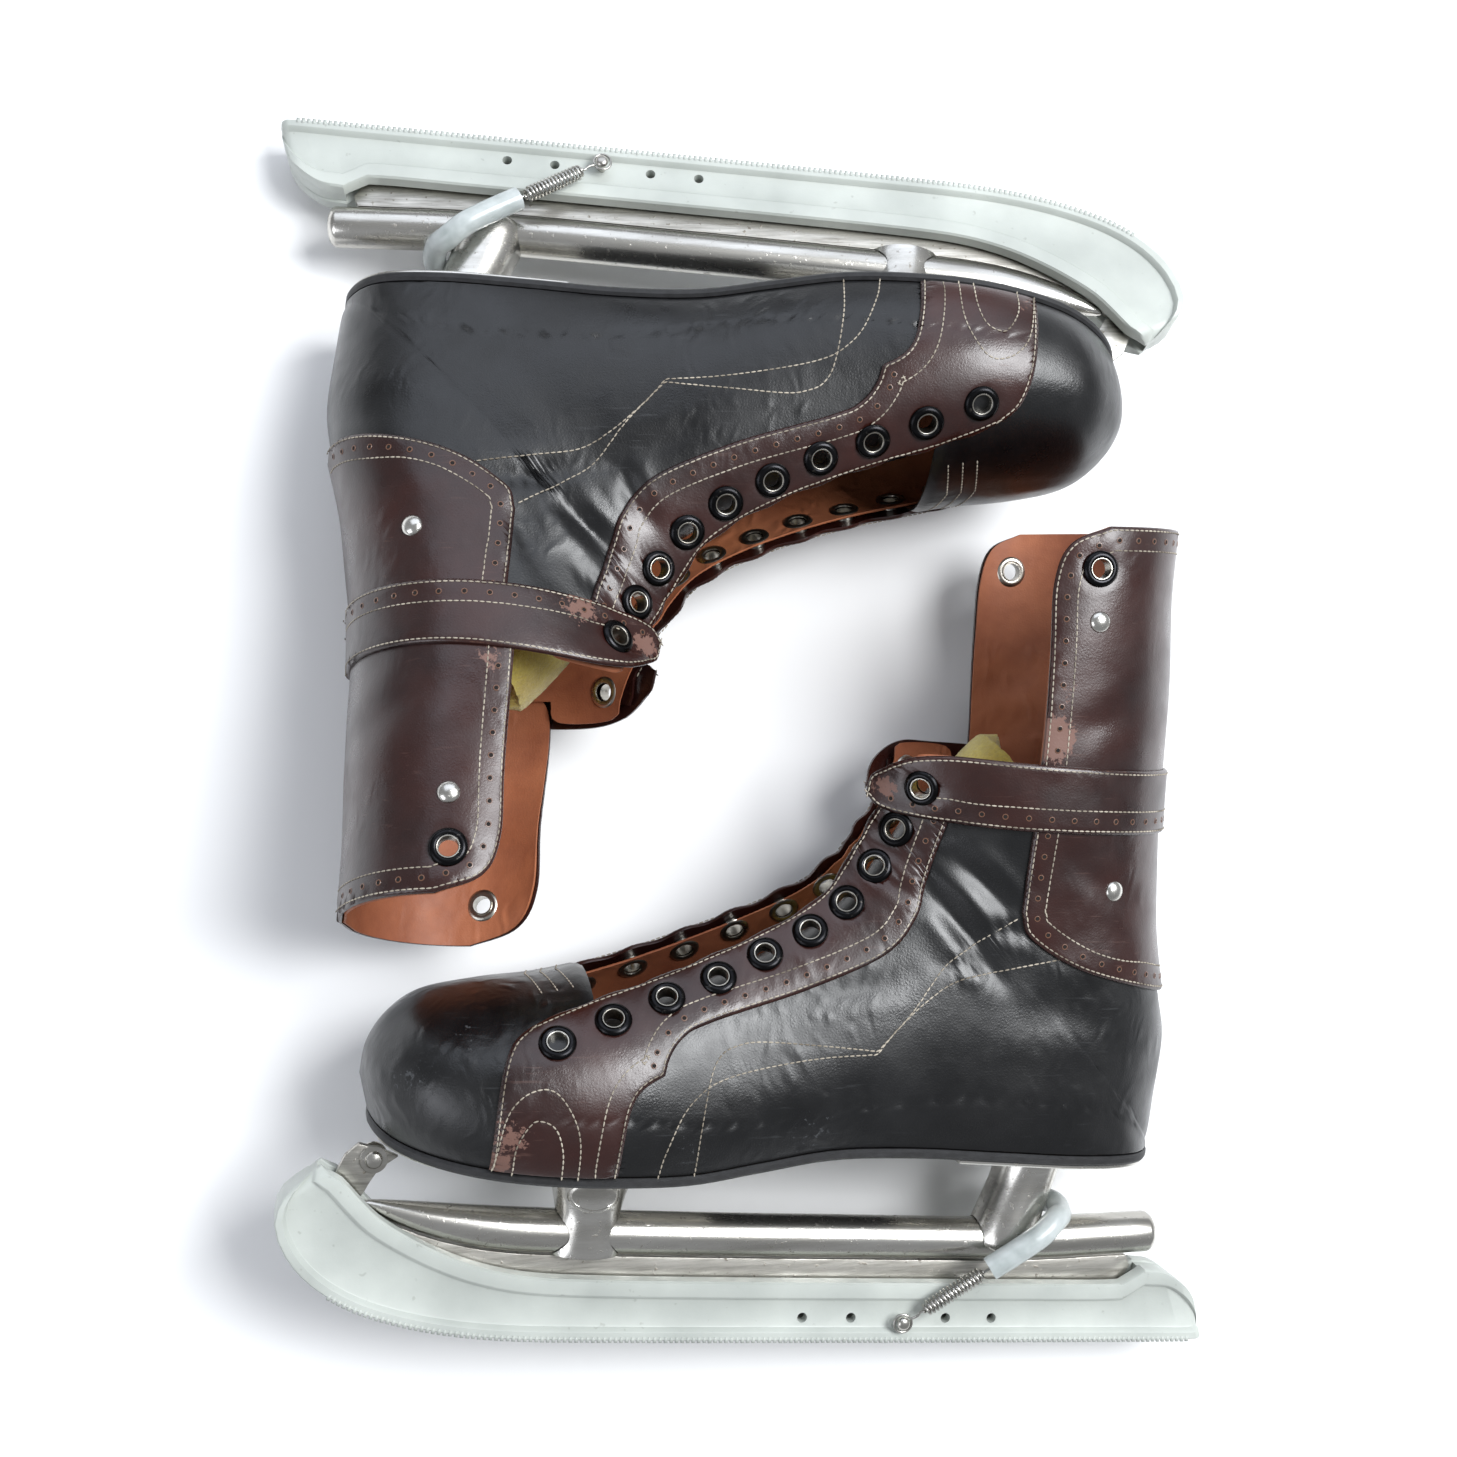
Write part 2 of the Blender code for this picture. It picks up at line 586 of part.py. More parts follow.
def upper(boot, name, frame):
    """Lining, black and brown leather, eyelets, strap, cuff and tongue."""
    sides = {"lateral": boot.outward, "medial": -boot.outward}
    pull = THROAT_PULL[boot.foot]
    coarse, fine = (16.0, 12.0), (12.0, 9.0)

    verts, faces = vamp(boot, BLACK)
    add_body(name + "vamp", frame, verts, faces, "black_leather")

    edge = [[(209.0, "sole"), (208.0, 85.0), (199.0, 98.0), (190.0, 113.0), (156.0, 127.0),
             (131.0, 139.5), (124.0, 149.0), (117.0, 172.0), (113.0, 189.0)],
            [(113.0, 189.0), (70.0, 189.0), ("back", 189.0)]]
    verts, faces = shell(boot, wrapped(boot, edge, 11.0, 10), [], fine, BLACK)
    add_body(name + "quarter", frame, verts, faces, "black_leather")

    edge = [[(248.0, "sole"), (247.0, 96.0), (240.0, 106.5)],
            [(240.0, 106.5)] + [(x - 0.6, z - 0.8) for x, z in THROAT[1:]],
            [(126.4, 195.2), (124.0, 201.0), (104.0, 201.0), (101.0, 193.5)],
            [(101.0, 193.5), (70.0, 193.5), ("back", 193.5)]]
    verts, faces = shell(boot, wrapped(boot, edge, 14.0, 9, 0.05), [], coarse, LINING)
    add_body(name + "lining", frame, verts, faces, "tan_leather")

    runs = [FACING_FRONT, THROAT, [THROAT[-1], FACING_LOWER[0]], FACING_LOWER, FACING_FOOT]
    for word, side in sides.items():
        edge = path(boot, runs, 9.0, pull=pull[side])
        foot_line = [(u, 0.0) for u in np.linspace(edge[-1][0], edge[0][0], 4)][1:-1]
        ring = [(u, h, side) for u, h in edge + foot_line]
        holes = [disc(boot, *boot.find(*pulled(spot, pull[side])), side, EYELET["barrel"] + 1.2, EYELET["sides"])
                 for spot in EYELETS]
        verts, faces = shell(boot, ring, holes, fine, BROWN)
        add_body(name + "facing_" + word, frame, verts, faces, "brown_leather")
        verts, faces = eyelet_row(boot, side, [pulled(spot, pull[side]) for spot in EYELETS])
        add_body(name + "eyelets_" + word, frame, verts, faces, "dark_nickel")

    edge = [COUNTER, [COUNTER[-1], (86.0, 187.0)], [(86.0, 187.0), ("back", 187.0)]]
    verts, faces = shell(boot, wrapped(boot, edge, 10.0), [], fine, BROWN)
    add_body(name + "counter", frame, verts, faces, "brown_leather")

    verts, faces = shell(boot, wrapped(boot, [STRAP_LOWER, STRAP_UPPER], 8.5), [], fine, STRAP)
    add_body(name + "ankle_strap", frame, verts, faces, "brown_leather")

    cuff_runs = [[("back", 197.5), CUFF_FRONT[0]], CUFF_FRONT, CUFF_TOP]
    reach = CUFF_REACH[boot.foot]
    cuff = both_sides(path(boot, cuff_runs, 10.0, reach[1]), path(boot, cuff_runs, 10.0, reach[-1]))
    verts, faces = shell(boot, cuff, [], fine, BROWN)
    add_body(name + "cuff", frame, verts, faces, "brown_leather")
    verts, faces = shell(boot, cuff, [], coarse, CUFF_LINING)
    add_body(name + "cuff_lining", frame, verts, faces, "tan_leather")

    for word, side in sides.items():
        x, z = CUFF_EYELET
        start = boot.back_x(z)
        place = (*boot.find(start + (x - start) * reach[side], z), side)
        verts, faces = washer(boot, place, BIG_EYELET, BROWN[1] + 0.6, BROWN[1] + 1.4)
        add_body(name + "cuff_eyelet_" + word, frame, verts, faces, "dark_nickel")
        x, z = CUFF_STUD
        place = (*boot.find(start + (x - start) * reach[side], z), side)
        add_stud(boot, place, name + "cuff_stud_" + word, frame)

    add_tongue(boot, name, frame)


def add_stud(boot, place, name, frame):
    """A domed rivet head on the cuff."""
    sides = 10
    verts = []
    for radius, lift in ((4.2, 0.6), (4.2, 1.2), (3.1, 2.3), (1.5, 2.9)):
        verts += ring_points(boot, place, radius, BROWN[1] + lift, sides)
    faces = []
    for i in range(3):
        for k in range(sides):
            a, b = i * sides + k, i * sides + (k + 1) % sides
            faces += [[a, b, b + sides], [a, b + sides, a + sides]]
    faces += [[0, k + 1, k] for k in range(1, sides - 1)]
    top = 3 * sides
    faces += [[top, top + k, top + k + 1] for k in range(1, sides - 1)]
    add_body(name, frame, verts, faces, "nickel")


def add_tongue(boot, name, frame):
    """A felt-lined flap under the facings, from the vamp's throat to above the strap."""
    line = spline([(222.0, 112.5), (205.0, 119.0), (185.0, 127.5), (165.0, 137.5), (150.0, 147.5),
                   (140.0, 158.0), (131.0, 172.0), (121.0, 188.0), (111.0, 201.0), (101.0, 213.0), (93.0, 221.0)], 14.0)
    across = [-1.0, -0.66, -0.33, 0.0, 0.33, 0.66, 1.0]
    thick = 2.6
    top, low = [], []
    for k, point in enumerate(line):
        ahead = line[min(k + 1, len(line) - 1)] - line[max(k - 1, 0)]
        ahead = ahead / np.linalg.norm(ahead)
        up = np.array([ahead[1], -ahead[0]])
        share = k / (len(line) - 1)
        half = 19.0 + 6.0 * math.sin(math.pi * min(share * 1.3, 1.0))
        if share > 0.85:
            half *= math.sqrt(max(0.15, 1 - ((share - 0.85) / 0.17) ** 2))
        for v in across:
            drop = 10.0 + 16.5 * v * v
            base = point - up * (drop if up[1] > 0 or up[0] > 0 else -drop)
            for lift, made in ((0.0, top), (thick, low)):
                spot = base - up * lift
                made.append(np.array([spot[0], v * half, spot[1]]))
    rows, columns = len(line), len(across)
    verts = top + low
    count = len(top)
    faces = []
    for i in range(rows - 1):
        for j in range(columns - 1):
            a, b = i * columns + j, i * columns + j + 1
            c, d = (i + 1) * columns + j + 1, (i + 1) * columns + j
            faces += [[a, b, c], [a, c, d], [count + a, count + c, count + b], [count + a, count + d, count + c]]
    rim = [(0, j) for j in range(columns)] + [(i, columns - 1) for i in range(1, rows)]
    rim += [(rows - 1, j) for j in range(columns - 2, -1, -1)] + [(i, 0) for i in range(rows - 2, -1, -1)]
    for (i, j), (m, n) in zip(rim, rim[1:]):
        a, b = i * columns + j, m * columns + n
        faces += [[b, a, count + a], [b, count + a, count + b]]
    add_body(name + "tongue", frame, verts, faces, "felt")


# ---- sole and frame -----------------------------------------------------------------------------


def slab(boot, x_from, x_to, inset, top, thick, stations=18, widest=99.0):
    """A layer of the sole between two places along it, following its outline and its profile."""
    xs = [x_from + (x_to - x_from) * (1 - math.cos(math.pi * k / stations)) / 2 for k in range(stations + 1)]
    verts = []
    for x in xs:
        half = max(min(boot.sole_half(x) - inset, widest), 0.8)
        z = boot.sole_z(min(max(x, 18.0), 289.5)) - top
        middle = boot.shift(x)
        verts += [(x, middle + half, z), (x, middle - half, z), (x, middle - half, z - thick),
                  (x, middle + half, z - thick)]
    faces = []
    for i in range(stations):
        for k in range(4):
            a, b = i * 4 + k, i * 4 + (k + 1) % 4
            faces += [[a, b, b + 4], [a, b + 4, a + 4]]
    end = stations * 4
    faces += [[0, 2, 1], [0, 3, 2], [end, end + 1, end + 2], [end, end + 2, end + 3]]
    return verts, faces


def plate(outline, thick, middle=0.0):
    """A flat sheet standing on edge, from its outline seen from the side."""
    flat = [Vector(p) for p in outline]
    count = len(flat)
    triangles = geometry.tessellate_polygon([[Vector((p.x, p.y, 0.0)) for p in flat]])
    verts = [(p.x, middle + thick / 2, p.y) for p in flat] + [(p.x, middle - thick / 2, p.y) for p in flat]
    faces = [list(t) for t in triangles] + [[count + k for k in t][::-1] for t in triangles]
    seen = {(a, b) for face in triangles for a, b in zip(face, (*face[1:], face[0]))}
    for a, b in seen:
        if (b, a) not in seen:
            faces += [[b, a, count + a], [b, count + a, count + b]]
    return verts, faces


def loft(loops):
    """A closed body through rings of equally many points, with flat ends."""
    sides = len(loops[0])
    verts = [p for loop in loops for p in loop]
    faces = []
    for i in range(len(loops) - 1):
        for k in range(sides):
            a, b = i * sides + k, i * sides + (k + 1) % sides
            faces += [[a, b, b + sides], [a, b + sides, a + sides]]
    ends = [list(range(sides)), [(len(loops) - 1) * sides + k for k in range(sides)][::-1]]
    for ring in ends:
        flat = geometry.tessellate_polygon([[Vector(verts[k]) for k in ring]])
        faces += [[ring[t[0]], ring[t[2]], ring[t[1]]] for t in flat] if loft_backward(verts, ring, flat) else \
                 [[ring[k] for k in t] for t in flat]
    return verts, faces


def loft_backward(verts, ring, flat):
    """Whether the end cap's triangles run with the ring, and so against the walls."""
    pairs = {(ring[a], ring[b]) for t in flat for a, b in zip(t, (*t[1:], t[0]))}
    return (ring[0], ring[1]) in pairs


def round_loop(centre, radius, along, sides=12, squash=1.0):
    """A ring round a point, square to a direction in the skate's own plane."""
    along = np.array([along[0], 0.0, along[1]])
    along = along / np.linalg.norm(along)
    side = np.array([0.0, 1.0, 0.0])
    up = np.cross(along, side)
    return [np.array([centre[0], 0.0, centre[1]]) + radius * (
        math.cos(2 * math.pi * k / sides) * side + squash * math.sin(2 * math.pi * k / sides) * up)
        for k in range(sides)]


def tube_loops(extra, sides):
    centres = [(x, z, TUBE_RADIUS) for x, z in TUBE_LINE] + TUBE_NOSE
    loops = []
    for k, (x, z, radius) in enumerate(centres):
        a, b = centres[max(k - 1, 0)], centres[min(k + 1, len(centres) - 1)]
        loops.append(round_loop((x, z), radius + extra, (b[0] - a[0], b[1] - a[1]), sides))
    if not extra:
        x, z, radius = centres[0]
        dome = [round_loop((x - 2.2, z + 0.15), radius * 0.45, (1.0, -0.07), sides),
                round_loop((x - 1.5, z + 0.1), radius * 0.8, (1.0, -0.07), sides)]
        loops = dome + loops
    return loops


def cut(body, frame, loops, name):
    verts, faces = loft(loops)
    cutter = add_body(name, frame, verts, faces, "steel")
    cutter.hide_render = True
    cutter.display_type = "WIRE"
    change = body.modifiers.new("cut", "BOOLEAN")
    change.object = cutter
    change.operation = "DIFFERENCE"


def blade_frame(boot, name, frame):
    """Tube, steel blade, posts, strut, plates and the sole they are fixed to."""
    add_body(name + "blade_tube", frame, *loft(tube_loops(0.0, 14)), "nickel")

    under = TUBE_RADIUS + GAP
    top = [(x, z - under - 0.2) for x, z in [(17.5, 34.0)] + TUBE_LINE[1:]]
    top += [(x, z - radius - GAP - 0.4) for x, z, radius in TUBE_NOSE] + [(289.6, 40.8)]
    foot = [(297.9, 38.8), (293.5, 30.5), (284.0, 20.0), (270.0, 12.0), (252.0, 7.0),
            (233.0, 4.9), (200.0, 4.2), (24.0, 4.2), (19.2, 15.0), (15.6, 22.5)]
    add_body(name + "blade", frame, *plate(top + foot, BLADE_THICK), "steel")

    sole_top, plate_top = 1.2, 1.2 + SOLE_THICK + GAP
    sole = slab(boot, 15.5, 290.5, -0.6, sole_top, SOLE_THICK, 26)
    add_body(name + "outsole", frame, *sole, "black_rubber")
    add_body(name + "insole", frame, *slab(boot, 33.0, 278.0, 10.0, -3.2, 2.2, 16), "board")
    add_body(name + "heel_plate", frame, *slab(boot, 20.0, 96.0, 1.6, plate_top, PLATE_THICK, 12), "nickel")
    add_body(name + "front_sole_plate", frame,
             *slab(boot, 168.0, 286.0, 5.0, plate_top, PLATE_THICK, 14, widest=26.0), "nickel")

    plate_z = plate_top + PLATE_THICK + GAP
    heel_z = boot.sole_z(58.0) - plate_z
    axis = (56.5 - 67.5, heel_z - 26.0)
    rear = [round_loop((66.9, 28.4), 10.2, axis, 14), round_loop((66.2, 31.0), 11.5, axis, 14),
            round_loop((63.5, 42.0), 11.2, axis, 14), round_loop((57.8, heel_z - 2.6), 11.6, (0.0, 1.0), 14),
            round_loop((57.0, heel_z - 0.5), 13.5, (0.0, 1.0), 14)]
    post = add_body(name + "rear_post", frame, *loft(rear), "nickel")
    cut(post, frame, tube_loops(GAP + 0.25, 14)[1:], name + "rear_post_cutter")

    ball_z = boot.sole_z(214.0) - plate_z
    levels = ((24.6, 8.0, 1.35), (27.5, 9.6, 1.35), (39.0, 9.4, 1.15), (ball_z - 4.0, 12.5, 1.15),
              (ball_z, 14.5, 1.15))
    front = [round_loop((214.5, z), radius, (0.0, 1.0), 14, squash) for z, radius, squash in levels]
    post = add_body(name + "front_post", frame, *loft(front), "nickel")
    cut(post, frame, tube_loops(GAP + 0.25, 14)[1:], name + "front_post_cutter")

    strut = [(290.2, 41.8), (298.0, 39.8), (299.0, 47.0), (295.0, 56.0), (291.5, 60.0), (284.0, 58.2),
             (278.5, 56.0), (287.2, 47.0)]
    add_body(name + "toe_strut", frame, *plate(strut, 3.0), "steel")
    loops = []
    for y, radius in ((1.8, 4.6), (2.7, 4.6), (2.72, 2.6), (3.9, 2.4), (4.4, 1.2)):
        loops.append([np.array([286.5 + radius * math.cos(2 * math.pi * k / 12), y,
                                55.2 + radius * math.sin(2 * math.pi * k / 12)]) for k in range(12)])
    add_body(name + "toe_rivet", frame, *loft(loops), "nickel")


# ---- blade guard --------------------------------------------------------------------------------

# Stations along the guard: foot of the wall, top of the wall, depth of the slot from the top.
GUARD = [
    ((-12.5, -1.0), (-9.5, 8.0), 0.4), ((-10.0, -2.0), (-3.0, 18.0), 0.4), ((-4.0, -2.4), (5.0, 22.5), 0.6),
    ((10.0, -2.5), (13.0, 23.0), 1.0), ((12.5, -2.5), (14.5, 22.0), 18.5), ((18.0, -2.5), (19.0, 17.6), 14.4),
    ((60.0, -2.6), (60.0, 17.4), 14.4), ((110.0, -2.7), (110.0, 17.3), 14.4), ((160.0, -2.7), (160.0, 17.3), 14.4),
    ((205.0, -2.6), (205.0, 17.6), 14.4), ((235.0, -2.2), (232.0, 18.6), 15.0), ((256.0, -0.6), (249.0, 21.6), 16.5),
    ((274.0, 2.6), (262.0, 26.0), 17.5), ((290.0, 7.6), (273.5, 31.4), 17.5), ((303.0, 15.0), (283.5, 37.4), 16.5),
    ((312.0, 24.5), (291.0, 44.4), 14.0), ((316.3, 35.0), (296.0, 49.5), 10.5), ((314.0, 43.5), (300.0, 51.6), 7.0),
    ((308.0, 49.5), (303.0, 53.5), 1.5),
]


def guard(name, frame):
    """A plastic channel: wide foot, sunken side panel, thick rim and the blade's slot."""
    loops = []
    for (fx, fz), (tx, tz), depth in GUARD:
        length = math.hypot(tx - fx, tz - fz)
        up = ((tx - fx) / length, (tz - fz) / length)
        wide = min(1.0, length / 20.0) ** 0.5
        slot = max(length - depth, 0.3)
        steps = [(0.0, 8.6 * wide), (min(3.2, length * 0.25), 8.6 * wide), (min(4.0, length * 0.33), 6.9 * wide),
                 (length - min(6.4, length * 0.4), 6.9 * wide), (length - min(5.6, length * 0.3), 7.8 * wide),
                 (length, 7.6 * wide), (length, 2.6), (slot, 2.5)]
        right = [np.array([fx + up[0] * d, y, fz + up[1] * d]) for d, y in steps]
        left = [np.array([p[0], -p[1], p[2]]) for p in reversed(right)]
        loops.append(right + left)
    return add_body(name + "guard", frame, *loft(loops), "white_plastic")


def springs_and_hose(name, frame):
    """Two extension springs, each hooked to the guard, pull a hose loop over the tube's tail."""
    ax, az = SPRING_RISE
    wall, spread = 10.4, 0.125  # the springs lean out to pass the rear post
    for word, side in (("outer", 1), ("inner", -1)):
        loops = []
        for run, radius in ((-3.6, 1.0), (-3.0, 3.6), (3.0, 3.6), (3.6, 1.2), (7.5, 1.2), (8.0, 2.9),
                            (32.5, 2.9), (33.0, 2.0), (35.6, 2.0)):
            spot = np.array([102.8 + ax * run, side * (wall + spread * max(run, 0.0)), 4.4 + az * run])
            along = np.array([ax, side * spread, az]) / math.sqrt(1 + spread ** 2)
            up = np.cross(along, [0.0, 1.0, 0.0])
            up /= np.linalg.norm(up)
            y = np.cross(up, along)
            flat = 0.45 if run < 4 else 1.0
            loops.append([spot + radius * (math.cos(2 * math.pi * k / 8) * y * flat + math.sin(2 * math.pi * k / 8) * up)
                          for k in range(8)])
        add_body(name + "guard_spring_" + word, frame, *loft(loops), "steel")

    bend = [(36.2, 14.9), (42.0, 15.7), (50.0, 16.4), (57.0, 16.3), (64.0, 13.4)]
    half = [np.array([102.8 + ax * run, y, 4.4 + az * run]) for run, y in bend]
    half += [np.array([47.4, 7.6, 45.4]), np.array([45.2, 0.0, 46.2])]
    whole = half + [np.array([p[0], -p[1], p[2]]) for p in reversed(half[:-1])]
    points = spline(whole, 6.5)
    curve = bpy.data.curves.new(name + "guard_hose", "CURVE")
    curve.dimensions = "3D"
    curve.bevel_depth = 4.2 * MM
    curve.bevel_resolution = 2
    curve.use_fill_caps = True
    line = curve.splines.new("POLY")
    line.points.add(len(points) - 1)
    for spot, point in zip(line.points, points):
        spot.co = (*(c * MM for c in point), 1.0)
    made = bpy.data.objects.new(name + "guard_hose", curve)
    made.data.materials.append(material("hose"))
    bpy.context.scene.collection.objects.link(made)
    made.parent = frame


def lay_down(foot):
    """The empty that a skate hangs from, turned and rolled as it lies."""
    laid = LAID[foot]
    toe = laid["toe"]
    upright = Matrix(((toe, 0, 0), (0, 0, -toe), (0, 1, 0))).to_4x4()
    turned = (Matrix.Rotation(math.radians(laid["pitch"]), 4, "Y")
              @ Matrix.Rotation(math.radians(laid["roll"]), 4, "X")
              @ Matrix.Rotation(math.radians(laid["turn"]), 4, "Z"))
    empty = bpy.data.objects.new(foot + "_skate_frame", None)
    bpy.context.scene.collection.objects.link(empty)
    empty.matrix_world = Matrix.Translation(Vector(laid["at"]) * MM) @ turned @ upright
    return empty


def main():
    clear_scene()
    for foot in ("left", "right"):
        frame = lay_down(foot)
        boot = Boot(foot)
        name = foot + "_"
        upper(boot, name, frame)
        blade_frame(boot, name, frame)
        guard(name, frame)
        springs_and_hose(name, frame)
    bpy.context.view_layer.update()


main()
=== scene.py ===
import json
import math

import bpy
import bmesh
import numpy as np
from mathutils import Matrix, Vector, geometry


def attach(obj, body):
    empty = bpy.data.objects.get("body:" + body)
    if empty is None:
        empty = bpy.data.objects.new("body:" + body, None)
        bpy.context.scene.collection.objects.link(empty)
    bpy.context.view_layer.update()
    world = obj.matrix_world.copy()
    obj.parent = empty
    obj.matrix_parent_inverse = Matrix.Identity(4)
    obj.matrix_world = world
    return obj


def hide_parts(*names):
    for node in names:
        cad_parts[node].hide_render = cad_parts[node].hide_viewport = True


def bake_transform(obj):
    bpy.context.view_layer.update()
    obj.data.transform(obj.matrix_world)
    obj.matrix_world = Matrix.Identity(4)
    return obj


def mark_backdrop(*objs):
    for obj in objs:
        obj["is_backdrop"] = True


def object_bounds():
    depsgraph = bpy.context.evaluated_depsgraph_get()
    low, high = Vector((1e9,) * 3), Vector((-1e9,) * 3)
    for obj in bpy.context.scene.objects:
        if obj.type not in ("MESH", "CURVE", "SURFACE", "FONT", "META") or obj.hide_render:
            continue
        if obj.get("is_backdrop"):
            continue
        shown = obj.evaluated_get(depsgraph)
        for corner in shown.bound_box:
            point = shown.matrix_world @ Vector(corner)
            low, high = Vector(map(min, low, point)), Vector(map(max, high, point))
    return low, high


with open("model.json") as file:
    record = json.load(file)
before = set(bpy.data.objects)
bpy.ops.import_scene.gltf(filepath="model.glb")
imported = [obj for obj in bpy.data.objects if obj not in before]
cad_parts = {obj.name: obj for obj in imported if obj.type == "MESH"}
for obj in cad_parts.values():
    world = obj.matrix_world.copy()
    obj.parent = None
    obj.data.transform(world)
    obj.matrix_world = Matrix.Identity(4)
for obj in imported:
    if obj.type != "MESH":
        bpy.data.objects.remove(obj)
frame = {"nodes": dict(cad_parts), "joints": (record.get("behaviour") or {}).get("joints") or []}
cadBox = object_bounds()
mm = 0.001
joints = {joint["name"]: joint for joint in frame["joints"]}
print("frame loaded:", len(frame["nodes"]), "nodes")


# where each skate lies, read back from its joints

hingeSpot = (62.0, 0.0, 196.0)  # the cuff's hinge in a skate's own millimetres


def skateFrame(foot):
    up = -Vector(joints[foot + "_guard_off"]["axis"])
    left = Vector(joints[foot + "_cuff_flex"]["axis"])
    turn = Matrix((left.cross(up), left, up)).transposed()
    return turn, Vector(joints[foot + "_cuff_flex"]["pos_m"]) - turn @ (Vector(hingeSpot) * mm)


frames = {foot: skateFrame(foot) for foot in ("left", "right")}


def toWorld(foot, points):
    turn, start = frames[foot]
    return np.asarray(points, float) @ np.array(turn).T * mm + np.array(start)


# curves and the boot's form, in a skate's own millimetres: x to the toe, y left, z up

def smoothLine(points, step):  # Catmull-Rom through the points
    points = np.array(points, float)
    if len(points) == 2:
        count = max(1, round(float(np.linalg.norm(points[1] - points[0])) / step))
        return points[0] + (points[1] - points[0]) * np.linspace(0, 1, count + 1)[:, None]
    ends = np.vstack([2 * points[0] - points[1], points, 2 * points[-1] - points[-2]])
    found = [points[:1]]
    for a, b, c, d in zip(ends, ends[1:], ends[2:], ends[3:]):
        count = max(1, round(float(np.linalg.norm(c - b)) / step))
        t = np.linspace(0, 1, count + 1)[1:, None]
        found.append(0.5 * (2 * b + (c - a) * t + (2 * a - 5 * b + 4 * c - d) * t ** 2
                            + (3 * b - a - 3 * c + d) * t ** 3))
    return np.vstack(found)


# One row for each section from the toe round the heel to the cuff: lower or back end (x, z),
# upper or front end (x, z), half width at the sole, widest half width, how far up that is, shift.
formRows = [
    (290.0, 71.5, 293.0, 82.0, 0.0, 0.0, 0.45, 4.0), (287.0, 69.0, 291.7, 92.0, 13.0, 15.5, 0.42, 4.0),
    (280.0, 66.3, 285.5, 102.0, 23.0, 27.0, 0.38, 4.0), (268.0, 64.2, 275.0, 109.5, 32.0, 37.0, 0.36, 4.0),
    (252.0, 63.0, 256.0, 114.5, 38.5, 43.5, 0.34, 3.5), (232.0, 62.4, 236.0, 118.0, 42.0, 46.5, 0.32, 3.5),
    (210.0, 62.4, 216.0, 124.0, 42.0, 46.5, 0.30, 3.5), (188.0, 63.0, 197.0, 132.0, 39.5, 44.5, 0.30, 3.5),
    (165.0, 66.4, 181.0, 140.5, 36.0, 42.0, 0.30, 3.5), (140.0, 70.4, 168.0, 148.0, 33.0, 40.0, 0.32, 3.0),
    (112.0, 71.8, 158.0, 155.0, 32.5, 38.5, 0.34, 2.0), (82.0, 71.6, 151.0, 162.0, 33.0, 37.5, 0.36, 1.0),
    (54.0, 71.2, 146.0, 169.0, 32.5, 37.0, 0.36, 0.0), (32.0, 70.6, 143.0, 176.0, 26.5, 37.0, 0.36, 0.0),
    (21.0, 70.2, 141.0, 182.0, 14.0, 37.0, 0.37, 0.0), (17.5, 71.0, 139.5, 187.0, 0.0, 37.0, 0.38, 0.0),
    (16.5, 88.0, 138.5, 191.5, 0.0, 37.5, 0.38, 0.0), (16.5, 108.0, 138.0, 195.5, 0.0, 38.0, 0.38, 0.0),
    (20.0, 124.0, 138.0, 199.0, 0.0, 38.5, 0.38, 0.0), (24.5, 143.0, 139.0, 203.0, 0.0, 39.0, 0.39, 0.0),
    (27.5, 163.0, 140.0, 206.5, 0.0, 40.0, 0.40, 0.0), (29.5, 183.0, 140.0, 211.0, 0.0, 41.0, 0.42, 0.0),
    (31.0, 202.0, 134.0, 219.0, 0.0, 42.0, 0.45, 0.0), (32.5, 220.0, 123.0, 231.0, 0.0, 42.5, 0.48, 0.0),
    (34.0, 240.0, 114.0, 246.0, 0.0, 43.0, 0.50, 0.0), (35.5, 262.0, 111.0, 265.0, 0.0, 43.0, 0.50, 0.0),
    (36.0, 288.0, 110.0, 288.0, 0.0, 43.0, 0.50, 0.0)]
heelCorner = 15  # the row where the sole ends and the back of the heel begins
domePower = 2.1
cuffReach = {"left": {1: 1.0, -1: 0.90}, "right": {1: 1.07, -1: 1.27}}
cuffLean = {"left": -2.0, "right": 6.0}
throatPull = {"left": {1: 0.0, -1: 13.0}, "right": {1: 0.0, -1: 0.0}}

# Creases that the worn leather keeps: from (x, z) to (x, z), depth and half width.
creases = {
    "left": [(111, 168, 87, 153, 1.5, 3.2), (117, 156, 92, 133, 1.6, 3.4), (97, 146, 81, 144, 0.9, 2.4),
             (109, 135, 97, 133, 0.8, 2.2), (80, 118, 26, 121, 0.8, 5.5), (66, 127, 30, 131, 0.7, 4.5),
             (139, 176, 123, 166, 0.9, 2.4), (133, 165, 123, 154, 0.8, 2.2), (150, 121, 124, 131, 0.7, 3.0),
             (70, 172, 48, 158, 0.6, 3.4), (78, 214, 52, 222, 0.6, 4.5), (122, 176, 104, 182, 0.8, 2.6)],
    "right": [(102, 145, 117, 163, 1.7, 3.4), (76, 141, 103, 136, 1.5, 3.2), (118, 137, 129, 146, 1.3, 3.0),
              (108, 134, 123, 127, 0.9, 2.6), (88, 150, 96, 172, 0.8, 4.0), (60, 116, 26, 119, 0.6, 5.5),
              (127, 166, 140, 176, 0.8, 2.4), (110, 171, 121, 181, 0.8, 2.8),
              (146, 120, 122, 128, 0.6, 3.0),
              (70, 216, 48, 226, 0.5, 5.0)]}


